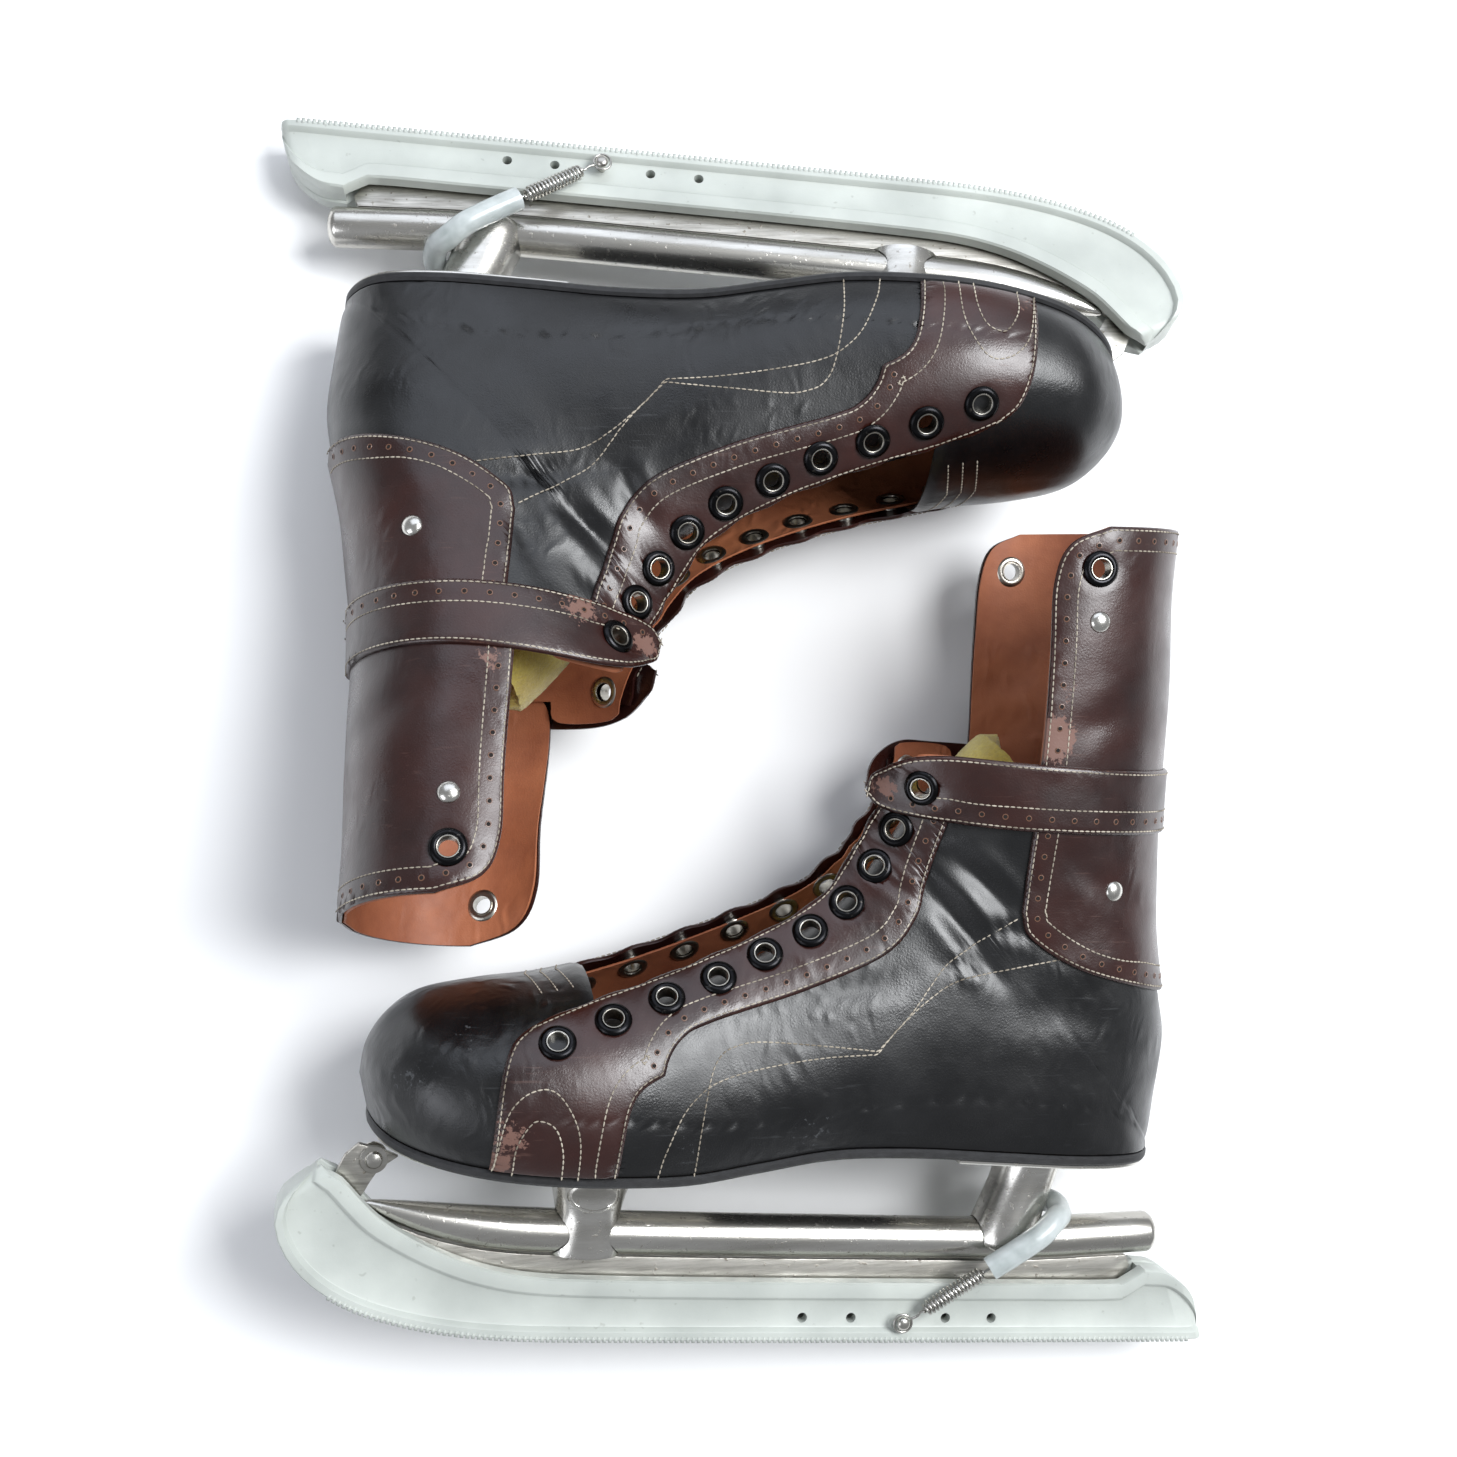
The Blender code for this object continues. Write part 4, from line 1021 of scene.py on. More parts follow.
def woolFelt():  # pressed wool felt, mustard: matt, hairy, with a soft sheen
    material, tree, shader = newMaterial("mustardWoolFelt", Roughness=0.95)
    shader.inputs["Sheen Weight"].default_value = 0.5
    shader.inputs["Sheen Roughness"].default_value = 0.6
    spot = addNode(tree, "ShaderNodeTexCoord").outputs["Object"]
    fibres = addNode(tree, "ShaderNodeTexNoise",
                     {"Vector": spot, "Scale": 900.0, "Detail": 6.0, "Roughness": 0.8})
    shade = addNode(tree, "ShaderNodeTexNoise", {"Vector": spot, "Scale": 60.0, "Detail": 3.0})
    colour = addNode(tree, "ShaderNodeValToRGB", {"Fac": shade.outputs["Fac"]},
                     [(0.30, "#c4a92f"), (0.70, "#ead863")]).outputs[0]
    speckled = addNode(tree, "ShaderNodeValToRGB", {"Fac": fibres.outputs["Fac"]},
                       [(0.35, "#c9b655"), (0.60, "#ffffff")]).outputs[0]
    tree.links.new(addNode(tree, "ShaderNodeMix", {0: 0.55, 6: colour, 7: speckled}, data_type="RGBA",
                           blend_type="MULTIPLY").outputs[2], shader.inputs["Base Color"])
    tree.links.new(addNode(tree, "ShaderNodeBump", {"Height": fibres.outputs["Fac"], "Distance": 0.0009,
                                                    "Strength": 0.8}).outputs[0], shader.inputs["Normal"])
    return material


def plated(name, dark, light, rough, pits, stain, streak=(14.0, 110.0, 110.0)):
    material, tree, shader = newMaterial(name, Metallic=1.0)
    spot = addNode(tree, "ShaderNodeTexCoord").outputs["Object"]
    cloud = addNode(tree, "ShaderNodeMapping", {"Vector": spot, "Scale": streak})
    tone = addNode(tree, "ShaderNodeTexNoise", {"Vector": cloud.outputs[0], "Scale": 1.0, "Detail": 6.0,
                                               "Roughness": 0.6})
    base = addNode(tree, "ShaderNodeValToRGB", {"Fac": tone.outputs["Fac"]},
                   [(0.32, dark), (0.66, light)]).outputs[0]
    spots = addNode(tree, "ShaderNodeTexNoise", {"Vector": spot, "Scale": 520.0, "Detail": 3.0})
    mask = addNode(tree, "ShaderNodeValToRGB", {"Fac": spots.outputs["Fac"]},
                   [(0.64, 0.0), (0.72, pits)]).outputs[0]
    tree.links.new(addNode(tree, "ShaderNodeMix", {0: mask, 6: base, 7: hexColour(stain)}, data_type="RGBA",
                           blend_type="MIX").outputs[2], shader.inputs["Base Color"])
    span = addNode(tree, "ShaderNodeMapRange",
                   {"Value": tone.outputs["Fac"], "From Min": 0.3, "From Max": 0.7,
                                                "To Min": rough + 0.12, "To Max": rough})
    rougher = addNode(tree, "ShaderNodeMath", {0: mask, 1: 0.4, 2: span.outputs[0]},
                      operation="MULTIPLY_ADD")
    tree.links.new(rougher.outputs[0], shader.inputs["Roughness"])
    fine = addNode(tree, "ShaderNodeTexNoise", {"Vector": cloud.outputs[0], "Scale": 14.0, "Detail": 4.0})
    normal = addNode(tree, "ShaderNodeBump",
                     {"Height": fine.outputs["Fac"], "Distance": 0.00004, "Strength": 0.5}).outputs[0]
    tree.links.new(addNode(tree, "ShaderNodeBump", {"Height": mask, "Distance": 0.0001, "Strength": 0.6,
                                                    "Normal": normal}).outputs[0], shader.inputs["Normal"])
    return material


thread = waxedThread()
holeShade = punchedHole()
felt = woolFelt()
# nickel plate on drawn steel tube, dulled by ice and age: cloudy, with small grey pits
nickelPlate = plated("agedNickelPlate", "#a9a69f", "#dddbd5", 0.20, 0.55, "#6a6258")
# carbon steel, ground flat and stained: fine lines along the blade
groundSteel = plated("groundCarbonSteel", "#8d8a83", "#cfccc4", 0.28, 0.65, "#5d5346", (25.0, 700.0, 700.0))
# black-japanned brass, the gloss worn off in places
japannedBrass = plated("japannedBrass", "#121213", "#2b2b2d", 0.22, 0.25, "#7c776f")
# the same brass where the black has worn off its rim
wornRim = plated("wornBrassRim", "#807b72", "#c9c6bd", 0.25, 0.4, "#3a3733")
# bright drawn spring wire
springWire = plated("drawnSpringWire", "#8f8d88", "#d4d2cd", 0.22, 0.2, "#6f6a62")


def mouldedPolyethylene():  # milky polyethylene, injection moulded: waxy, slightly see-through, scuffed
    material, tree, shader = newMaterial("milkyPolyethylene", IOR=1.51)
    spot = addNode(tree, "ShaderNodeTexCoord").outputs["Object"]
    tone = addNode(tree, "ShaderNodeTexNoise", {"Vector": spot, "Scale": 30.0, "Detail": 4.0})
    base = addNode(tree, "ShaderNodeValToRGB", {"Fac": tone.outputs["Fac"]},
                   [(0.30, "#a7aca7"), (0.70, "#bfc4be")]).outputs[0]
    specks = addNode(tree, "ShaderNodeTexNoise", {"Vector": spot, "Scale": 330.0, "Detail": 2.0})
    grime = addNode(tree, "ShaderNodeValToRGB", {"Fac": specks.outputs["Fac"]},
                    [(0.70, 0.0), (0.76, 0.35)]).outputs[0]
    tree.links.new(addNode(tree, "ShaderNodeMix", {0: grime, 6: base, 7: hexColour("#7f8078")},
                           data_type="RGBA", blend_type="MIX").outputs[2], shader.inputs["Base Color"])
    shader.inputs["Subsurface Weight"].default_value = 0.12
    shader.inputs["Subsurface Radius"].default_value = (0.004, 0.004, 0.0035)
    scuff = addNode(tree, "ShaderNodeTexNoise",
                    {"Vector": spot, "Scale": 140.0, "Detail": 6.0, "Roughness": 0.7})
    rough = addNode(tree, "ShaderNodeMapRange",
                    {"Value": scuff.outputs["Fac"], "From Min": 0.3, "From Max": 0.7,
                                                 "To Min": 0.34, "To Max": 0.52})
    tree.links.new(rough.outputs[0], shader.inputs["Roughness"])
    tree.links.new(addNode(tree, "ShaderNodeBump", {"Height": scuff.outputs["Fac"], "Distance": 0.0003,
                                                    "Strength": 0.35}).outputs[0], shader.inputs["Normal"])
    return material


def cloudyVinyl():  # soft vinyl hose, clouded with age: see-through milk, gloss
    material, tree, shader = newMaterial("cloudyVinylHose", IOR=1.52, Roughness=0.25)
    spot = addNode(tree, "ShaderNodeTexCoord").outputs["Object"]
    tone = addNode(tree, "ShaderNodeTexNoise", {"Vector": spot, "Scale": 120.0, "Detail": 3.0})
    colour = addNode(tree, "ShaderNodeValToRGB", {"Fac": tone.outputs["Fac"]},
                     [(0.30, "#b4bcbb"), (0.70, "#d9dfdf")]).outputs[0]
    tree.links.new(colour, shader.inputs["Base Color"])
    shader.inputs["Subsurface Weight"].default_value = 0.5
    shader.inputs["Subsurface Radius"].default_value = (0.003, 0.003, 0.003)
    shader.inputs["Transmission Weight"].default_value = 0.25
    tree.links.new(addNode(tree, "ShaderNodeBump", {"Height": tone.outputs["Fac"], "Distance": 0.0004,
                                                    "Strength": 0.3}).outputs[0], shader.inputs["Normal"])
    return material


def soleBoard(name, dark, light, rough):  # pressed fibre and rubber sheet, cut and waxed at the edge
    material, tree, shader = newMaterial(name, Roughness=rough)
    spot = addNode(tree, "ShaderNodeTexCoord").outputs["Object"]
    fibre = addNode(tree, "ShaderNodeTexNoise",
                    {"Vector": spot, "Scale": 260.0, "Detail": 6.0, "Roughness": 0.7})
    colour = addNode(tree, "ShaderNodeValToRGB", {"Fac": fibre.outputs["Fac"]},
                     [(0.30, dark), (0.70, light)]).outputs[0]
    tree.links.new(colour, shader.inputs["Base Color"])
    tree.links.new(addNode(tree, "ShaderNodeBump", {"Height": fibre.outputs["Fac"], "Distance": 0.0004,
                                                    "Strength": 0.5}).outputs[0], shader.inputs["Normal"])
    return material


guardPlastic = mouldedPolyethylene()
hoseVinyl = cloudyVinyl()
soleRubber = soleBoard("waxedCompositionSole", "#0d0d0e", "#232325", 0.55)
insoleBoard = soleBoard("pressedInsoleBoard", "#5c4430", "#8c6c4e", 0.85)
print("materials made")


# rows of small things, made by Geometry Nodes

def rowTree(name, resample):
    # places an item along seams at an even spacing, or once at every marked point
    tree = bpy.data.node_groups.new(name, "GeometryNodeTree")
    face = tree.interface
    face.new_socket("Geometry", in_out="INPUT", socket_type="NodeSocketGeometry")
    face.new_socket("Item", in_out="INPUT", socket_type="NodeSocketObject")
    face.new_socket("Spacing", in_out="INPUT", socket_type="NodeSocketFloat")
    face.new_socket("Size", in_out="INPUT", socket_type="NodeSocketFloat")
    face.new_socket("Unevenness", in_out="INPUT", socket_type="NodeSocketFloat")
    face.new_socket("Material", in_out="INPUT", socket_type="NodeSocketMaterial")
    face.new_socket("Geometry", in_out="OUTPUT", socket_type="NodeSocketGeometry")
    given = addNode(tree, "NodeGroupInput")
    points = given.outputs["Geometry"]
    outward = addNode(tree, "GeometryNodeInputNamedAttribute", {"Name": "outward"},
                      data_type="FLOAT_VECTOR")
    if resample:
        line = addNode(tree, "GeometryNodeMeshToCurve", {"Mesh": points})
        even = addNode(tree, "GeometryNodeResampleCurve", {"Curve": line.outputs[0]})
        if hasattr(even, "mode"):
            even.mode = "LENGTH"
        tree.links.new(given.outputs["Spacing"], even.inputs["Length"])
        points = even.outputs[0]
        ahead = addNode(tree, "GeometryNodeInputTangent").outputs[0]
    else:
        ahead = addNode(tree, "GeometryNodeInputNamedAttribute", {"Name": "ahead"},
                        data_type="FLOAT_VECTOR").outputs[0]
    item = addNode(tree, "GeometryNodeObjectInfo", {"Object": given.outputs["Item"]})
    axes = addNode(tree, "FunctionNodeAxesToRotation", {0: outward.outputs[0], 1: ahead},
                   primary_axis="Z", secondary_axis="X")
    chance = addNode(tree, "FunctionNodeRandomValue", {2: 0.0, 3: 1.0, "Seed": 5}, data_type="FLOAT")
    spread = addNode(tree, "ShaderNodeMath", {0: chance.outputs[1], 1: given.outputs["Unevenness"],
                                              2: given.outputs["Size"]}, operation="MULTIPLY_ADD")
    placed = addNode(tree, "GeometryNodeInstanceOnPoints", {
        "Points": points, "Instance": item.outputs["Geometry"], "Rotation": axes.outputs[0],
        "Scale": spread.outputs[0]})
    real = addNode(tree, "GeometryNodeRealizeInstances", {0: placed.outputs[0]})
    painted = addNode(tree, "GeometryNodeSetMaterial", {"Geometry": real.outputs[0],
                                                        "Material": given.outputs["Material"]})
    out = addNode(tree, "NodeGroupOutput")
    tree.links.new(painted.outputs[0], out.inputs[0])
    return tree


seamTree = rowTree("alongSeam", True)
markTree = rowTree("atMark", False)


def setInputs(modifier, values):
    for item in modifier.node_group.interface.items_tree:
        if item.in_out == "INPUT" and item.name in values:
            modifier[item.identifier] = values[item.name]


def bake(holder, tree, values, name):
    modifier = holder.modifiers.new("rows", "NODES")
    modifier.node_group = tree
    setInputs(modifier, values)
    bpy.context.view_layer.update()
    graph = bpy.context.evaluated_depsgraph_get()
    mesh = bpy.data.meshes.new_from_object(holder.evaluated_get(graph))
    mesh.name = name
    old = holder.data
    bpy.data.objects.remove(holder)
    bpy.data.meshes.remove(old)
    piece = bpy.data.objects.new(name, mesh)
    bpy.context.scene.collection.objects.link(piece)
    mesh.shade_smooth()
    return piece


def holderOf(foot, lines, joined):  # points, or lines of points, that carry their own directions
    boot = boots[foot]
    verts, outs, fronts, edges = [], [], [], []
    for places, lift in lines:
        places = tuple(np.atleast_1d(np.asarray(part, float)) for part in places)
        out, front = boot.frameAt(places)
        first = len(verts)
        verts += list(boot.at(*places, lift))
        outs += list(out)
        fronts += list(front)
        if joined:
            edges += [(first + k, first + k + 1) for k in range(len(places[0]) - 1)]
    return holderFrom(foot, verts, outs, fronts, edges)


def holderFrom(foot, verts, outs, fronts, edges=()):
    turn = np.array(frames[foot][0])
    mesh = bpy.data.meshes.new("holder")
    mesh.from_pydata([tuple(v) for v in toWorld(foot, verts)], list(edges), [])
    for key, values in (("outward", outs), ("ahead", fronts)):
        flat = (np.array(values) @ turn.T).astype(np.float32).ravel()
        mesh.attributes.new(key, "FLOAT_VECTOR", "POINT").data.foreach_set("vector", flat)
    holder = bpy.data.objects.new("holder", mesh)
    bpy.context.scene.collection.objects.link(holder)
    return holder


def sewAlong(name, foot, lines, item, spacing, material, size=1.0, unevenness=0.0):
    values = {"Item": item, "Spacing": spacing * mm, "Size": size, "Unevenness": unevenness,
              "Material": material}
    return bake(holderOf(foot, lines, True), seamTree, values, name)


def setAt(name, foot, marks, item, material):
    values = {"Item": item, "Size": 1.0, "Unevenness": 0.0, "Material": material}
    return bake(holderOf(foot, marks, False), markTree, values, name)


# the small things themselves, in millimetres about their own middle

def turned(name, profile, sides, closed=False):  # a lathe shape about Z from (radius, height) points
    verts, faces = [], []
    for radius, z in profile:
        for k in range(sides):
            angle = 2 * math.pi * k / sides
            verts.append((radius * math.cos(angle) * mm, radius * math.sin(angle) * mm, z * mm))
    rows = len(profile)
    for i in range(rows if closed else rows - 1):
        for k in range(sides):
            a, b = i * sides + k, i * sides + (k + 1) % sides
            c, d = (i + 1) % rows * sides + (k + 1) % sides, (i + 1) % rows * sides + k
            faces.append((a, b, c, d))
    mesh = bpy.data.meshes.new(name)
    mesh.from_pydata(verts, [], faces)
    work = bmesh.new()
    work.from_mesh(mesh)
    bmesh.ops.remove_doubles(work, verts=work.verts, dist=1e-7)
    if not closed:
        bmesh.ops.holes_fill(work, edges=work.edges)
    bmesh.ops.recalc_face_normals(work, faces=work.faces)
    work.to_mesh(mesh)
    work.free()
    mesh.shade_smooth()
    mesh.set_sharp_from_angle(angle=math.radians(50))
    made = bpy.data.objects.new(name, mesh)
    bpy.context.scene.collection.objects.link(made)
    made.hide_render = True
    return made


stitchSize = {"length": 1.7, "width": 0.54, "height": 0.42, "pitch": 2.0}


def stitchItem():  # one bead of thread, rounded and sunk at its ends
    size = stitchSize
    bpy.ops.mesh.primitive_uv_sphere_add(segments=6, ring_count=5, radius=0.5)
    made = bpy.context.object
    made.name = "stitchItem"
    made.data.transform(Matrix.Rotation(math.pi / 2, 4, "Y"))
    made.data.transform(Matrix.Diagonal((size["length"] * mm, size["width"] * mm, size["height"] * mm,
                                         1.0)))
    made.data.transform(Matrix.Translation((0, 0, 0.08 * mm)))
    made.hide_render = True
    return made


stitch = stitchItem()
punch = {"radius": 0.62, "pitch": 7.0}
# painted shade: a thin near-black disc over each punched hole stands in for the shadow inside it
holeItem = turned("punchHole", [(0.0, 0.07), (punch["radius"], 0.07), (punch["radius"], -0.2)], 8)
rimItem = turned("punchRim", [(0.66, 0.02), (0.76, 0.16), (0.98, 0.13), (1.08, -0.05), (0.9, -0.1)], 10,
                 True)
eyeletItem = turned("eyeletRing", [
    (3.35, -1.2), (3.35, 0.55), (3.55, 0.92), (3.95, 1.15), (4.5, 1.22), (5.1, 1.05),
    (5.65, 0.62), (5.95, 0.12), (5.9, -0.1), (5.0, -0.1), (3.75, -0.2), (3.7, -1.2)], 28, True)
eyeletRim = turned("eyeletRim", [
    (3.05, -4.0), (3.05, 0.75), (3.14, 1.0), (3.32, 1.12), (3.52, 1.08), (3.6, 0.9), (3.42, 0.7),
                                 (3.36, -4.0)], 28, True)
backWasher = turned("eyeletBack", [(3.2, -4.4), (3.3, -4.9), (4.2, -5.15), (5.2, -4.9), (5.5, -4.45)], 24,
                    True)
cuffWasher = turned("cuffEyeletBack", [(3.2, -2.9), (3.3, -3.4), (4.2, -3.65), (5.2, -3.4), (5.6, -2.95)],
                    24, True)
studItem = turned("rivetHead", [(0.0, 1.75), (0.9, 1.66), (1.9, 1.42), (2.8, 0.98), (3.4, 0.42),
                                (3.55, 0.0),
                                (3.5, -0.4), (0.0, -0.4)], 20)


# the upper's outlines, seen from the side; "sole" and "back" stand for the rim there

layers = {"black": (-1.5, 0.0), "brown": (0.15, 1.75), "strap": (1.85, 3.35), "lining": (-2.7, -1.6),
          "cuffLining": (-1.15, 0.1)}
facingFront = [(253.0, "sole"), (253.0, 80.0), (252.0, 93.0), (249.0, 101.5), (243.0, 106.5)]
throat = [(243.0, 106.5), (225.0, 113.5), (205.0, 121.0), (185.0, 130.0), (165.0, 140.5), (150.0, 151.0),
          (142.0, 162.0), (136.0, 174.0), (130.0, 187.0), (127.0, 196.0)]
facingLower = [(110.0, 196.0), (111.5, 184.0), (117.0, 160.0), (120.0, 148.0), (130.0, 135.5),
               (155.0, 123.2),
               (187.0, 111.5), (195.5, 107.0), (200.0, 101.0), (201.5, 95.5)]
facingFoot = [(201.5, 95.5), (208.0, 91.5), (211.5, 86.0), (213.0, 76.0), (213.5, "sole")]
quarterEdge = [[(216.5, "sole"), (216.5, 86.0), (212.0, 98.0), (203.0, 109.0), (190.0, 115.5),
                (156.0, 128.5),
                (132.0, 140.5), (125.0, 150.0), (118.0, 172.0), (114.0, 189.0)],
               [(114.0, 189.0), (70.0, 189.0), ("back", 189.0)]]
counterLower = [("back", 125.0), (40.0, 129.5), (65.0, 135.5), (82.0, 144.5), (86.0, 153.0)]
counterFront = [(86.0, 153.0), (86.0, 187.0)]
cuffFront = [(86.0, 187.0), (86.5, 197.5), (87.5, 240.0), (88.0, 262.0), (84.0, 274.5), (72.0, 281.0)]
cuffTop = [(72.0, 281.0), (55.0, 282.5), ("back", 284.0)]
strapLower = [("back", 181.0), (60.0, 181.0), (100.0, 180.5), (128.0, 181.5), (134.5, 186.0)]
strapUpper = [(134.5, 186.0), (132.0, 195.0), (121.0, 202.0), (90.0, 202.5), ("back", 202.5)]
eyeletSpots = [(235.3, 102.6), (217.7, 109.7), (200.5, 116.8), (183.8, 124.0), (168.5, 132.2),
               (153.7, 140.6),
               (141.8, 150.5), (133.0, 163.0), (126.7, 176.0)]
strapEyelet, cuffEyelet, cuffStud, counterStud = (120.5, 191.5), (74.5, 267.0), (73.0, 250.0), (54.7, 162.0)
# the zigzag that is sewn over the quarter, and the two arches on the front of the facing
quarterSeams = [
    [[(188, "sole"), (188, 78), (186, 95), (183, 102), (178, 105), (170, 106.5), (150, 106), (131, 105)],
     [(131, 105), (120, 118), (110, 133), (100, 141), (87.5, 150)]],
    [[(200, "sole"), (199, 70), (195, 82), (190, 89), (183, 94), (170, 98), (150, 102), (131, 104)],
     [(131, 104), (125, 112), (115, 122), (105, 129), (90, 133), (71, 138)]]]
archSeams = [[(252, 64), (250, 80), (246, 87), (240, 90), (235, 89), (230, 83), (227, 75), (226, "sole")],
             [(246, "sole"), (246, 72), (243, 79), (240, 81), (235, 79), (232, 72), (231, "sole")]]
edgeRows = {"first": 1.2, "second": 7.8, "holes": 4.5}
# where the leather is rubbed bare: x, z, side, radius and strength
rubs = {
    "left": {"vamp": [(279, 88, 1, 26, 0.46), (262, 104, 1, 22, 0.42), (288, 80, 1, 12, 0.42),
                      (270, 72, -1, 20, 0.4)],
             "facing": [(252, 66, 1, 9, 0.95), (248, 75, 1, 16, 0.62), (128, 193, 1, 14, 0.6),
                        (215, 66, -1, 14, 0.7)],
             "back": [(85, 211, 1, 15, 0.98), (80, 226, 1, 12, 0.5), (55, 140, 1, 22, 0.3),
                      (50, 250, -1, 30, 0.4)],
             "strap": [(132, 190, 1, 9, 0.7), (100, 184, 1, 18, 0.35)],
             "quarter": [(150, 76, 1, 40, 0.42), (190, 74, 1, 26, 0.44), (84, 124, 1, 30, 0.42),
                         (60, 80, 1, 26, 0.3)]},
    "right": {"vamp": [(284, 84, 1, 18, 0.45), (262, 100, -1, 22, 0.5)],
              "facing": [(249, 68, 1, 11, 0.5), (128, 192, 1, 12, 0.75), (238, 95, 1, 16, 0.4)],
              "back": [(84, 207, 1, 14, 0.6), (92, 232, 1, 12, 0.5), (50, 230, -1, 30, 0.4)],
              "strap": [(110, 184, 1, 13, 0.72), (131, 190, 1, 9, 0.8)],
              "quarter": [(120, 118, 1, 30, 0.35), (150, 90, 1, 40, 0.3), (70, 84, -1, 30, 0.4)]}}


def ringOf(parts):
    return tuple(np.concatenate([part[k] for part in parts]) for k in range(3))


def soleRun(first, last, side, count=40, height=0.0):
    u = np.linspace(first, last, count)
    return u, np.full(count, height), np.full(count, float(side))


def spotOn(boot, x, z, side, reach=False):
    if x > 100.0:
        x = x - throatPull[boot.foot][side] * min(1.0, max(0.0, (z - 120.0) / 60.0))
    start = float(boot.backX(z))
    factor = cuffReach[boot.foot][side] if reach else 1.0
    u, h = boot.find(start + (x - start) * factor, z)
    return u, h, np.array([float(side)])


def aroundHeel(boot, runs, reach=False, onSole=0.0):
    halves = []
    for side in (1, -1):
        half = path(boot, runs, 2.0, side, reach)
        if onSole is not None:
            start = heelCorner + 22 * onSole
            foot = soleRun(start, half[0][0], side, 70, onSole)
            foot[1][0] = 0.0
            half = ringOf([trimmed(foot, 0, 1), half])
        halves.append(half)
    return bothSides(*halves)


def placePiece(piece, body, slot, *nodes):
    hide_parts(*nodes)
    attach(piece, body)
    return piece


def evenly(boot, places, step):  # marks along a line, a step apart over the leather
    spots = boot.bare(*places)
    run = np.concatenate([[0], np.cumsum(np.linalg.norm(np.diff(spots, axis=0), axis=1))])
    count = max(1, int(run[-1] // step))
    want = (np.arange(count) + 0.5) * run[-1] / count
    return tuple(np.interp(want, run, part) for part in places[:2]) + (np.full(count, places[2][0]),)


def makeVamp(foot):
    boot = boots[foot]
    us = np.concatenate([[0.0, 0.06, 0.15, 0.3], np.linspace(0.45, 5.62, 46)])
    heights = np.linspace(0, 1, 38)
    v = np.concatenate([heights, 2 - heights[:-1][::-1]])
    gridU, gridV = np.meshgrid(us, v, indexing="ij")
    h = np.where(gridV > 1, 2 - gridV, gridV).ravel()
    side = np.where(gridV > 1, -1.0, 1.0).ravel()
    edge = 0.9 * (1 - np.clip((5.62 - gridU.ravel()) / 0.12, 0, 1))
    low, high = layers["black"]
    outer = boot.at(gridU.ravel(), h, side, high - edge)
    inner = boot.at(gridU.ravel(), h, side, low)
    rows, columns, count = len(us), len(v), len(outer)
    faces = []
    for i in range(rows - 1):
        for j in range(columns - 1):
            a, b = i * columns + j, i * columns + j + 1
            c, d = b + columns, a + columns
            faces += [(a, b, c, d), (count + a, count + d, count + c, count + b)]
    rim = [(i, 0) for i in range(rows)] + [(rows - 1, j) for j in range(1, columns)]
    rim += [(i, columns - 1) for i in range(rows - 2, -1, -1)]
    for (i, j), (m, n) in zip(rim, rim[1:]):
        a, b = i * columns + j, m * columns + n
        faces.append((a, b, count + b, count + a))
    away = np.full(count, 20.0)
    rub = np.zeros(count)
    for x, z, sign, radius, strength in rubs[foot]["vamp"]:
        gap = np.hypot(outer[:, 0] - x, outer[:, 2] - z)
        rub = np.maximum(rub, strength * np.clip(1 - gap / radius, 0, 1) * (np.sign(outer[:, 1]) == sign))
    values = {"edge": np.concatenate([away, away]), "rub": np.concatenate([rub, rub])}
    piece = buildMesh(foot + "_vamp_leather", foot, np.vstack([outer, inner]), faces, blackLeather, values)
    placePiece(piece, foot + "_skate", "black_leather", foot + "_vamp")


def facingRing(boot, side):
    runs = [facingFront, throat, [throat[-1], facingLower[0]], facingLower, facingFoot]
    edge = path(boot, runs, 2.0, side)
    top = path(boot, [throat], 2.0, side)
    # the lace holes have drawn the throat's edge into shallow scallops
    pull = {("left", 1): 0.35, ("left", -1): 1.2, ("right", 1): 0.5, ("right", -1): 1.4}[boot.foot, side]
    spots = boot.bare(*edge)
    run = np.concatenate([[0], np.cumsum(np.linalg.norm(np.diff(spots, axis=0), axis=1))])
    near = fromRing3(spots, boot.bare(*top)) < 0.5
    wave = np.where(near, pull * np.sin(run * 2 * np.pi / 18.3), 0.0)
    edge = shifted(boot, edge, wave[:, None] * 1.0)
    foot = soleRun(edge[0][-1], edge[0][0], side, 18)
    return ringOf([edge, trimmed(foot, 1, 1)])


def makeFacings(foot):
    boot = boots[foot]
    for word, side in (("lateral", boot.outward), ("medial", -boot.outward)):
        holes = [(spotOn(boot, x, z, side), 4.0) for x, z in eyeletSpots + [strapEyelet]]
        piece = panel(foot + "_facing_" + word + "_leather", foot, facingRing(boot, side), layers["brown"],
                      brownLeather, holes, rubs=rubs[foot]["facing"])
        placePiece(piece, foot + "_skate", "brown_leather", foot + "_facing_" + word)


def makeQuarter(foot):
    boot = boots[foot]
    piece = panel(foot + "_quarter_leather", foot, aroundHeel(boot, quarterEdge), layers["black"],
                  blackLeather,
                  rubs=rubs[foot]["quarter"])
    placePiece(piece, foot + "_skate", "black_leather", foot + "_quarter")


def makeBoot(foot):
    boot = boots[foot]
    edge = [[(248.0, "sole"), (247.0, 96.0), (240.0, 106.5)],
            [(240.0, 106.5)] + [(x - 0.6, z - 0.8) for x, z in throat[1:]],
            [(126.4, 195.2), (124.0, 201.0), (104.0, 201.0), (101.0, 193.5)],
            [(101.0, 193.5), (70.0, 193.5), ("back", 193.5)]]
    holes = [(spotOn(boot, x, z, side), 3.9) for side in (1, -1) for x, z in eyeletSpots + [strapEyelet]]
    piece = panel(foot + "_boot_lining", foot, aroundHeel(boot, edge, onSole=0.05), layers["lining"],
                  liningLeather,
                  holes, spacing=(2.0, 3.2), lightEdge=3.0)
    placePiece(piece, foot + "_skate", "lining_leather", foot + "_lining")


def flexing(piece, foot, slot, *nodes):  # leather that crosses the cuff's hinge
    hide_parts(*nodes)
    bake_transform(piece)
    return piece


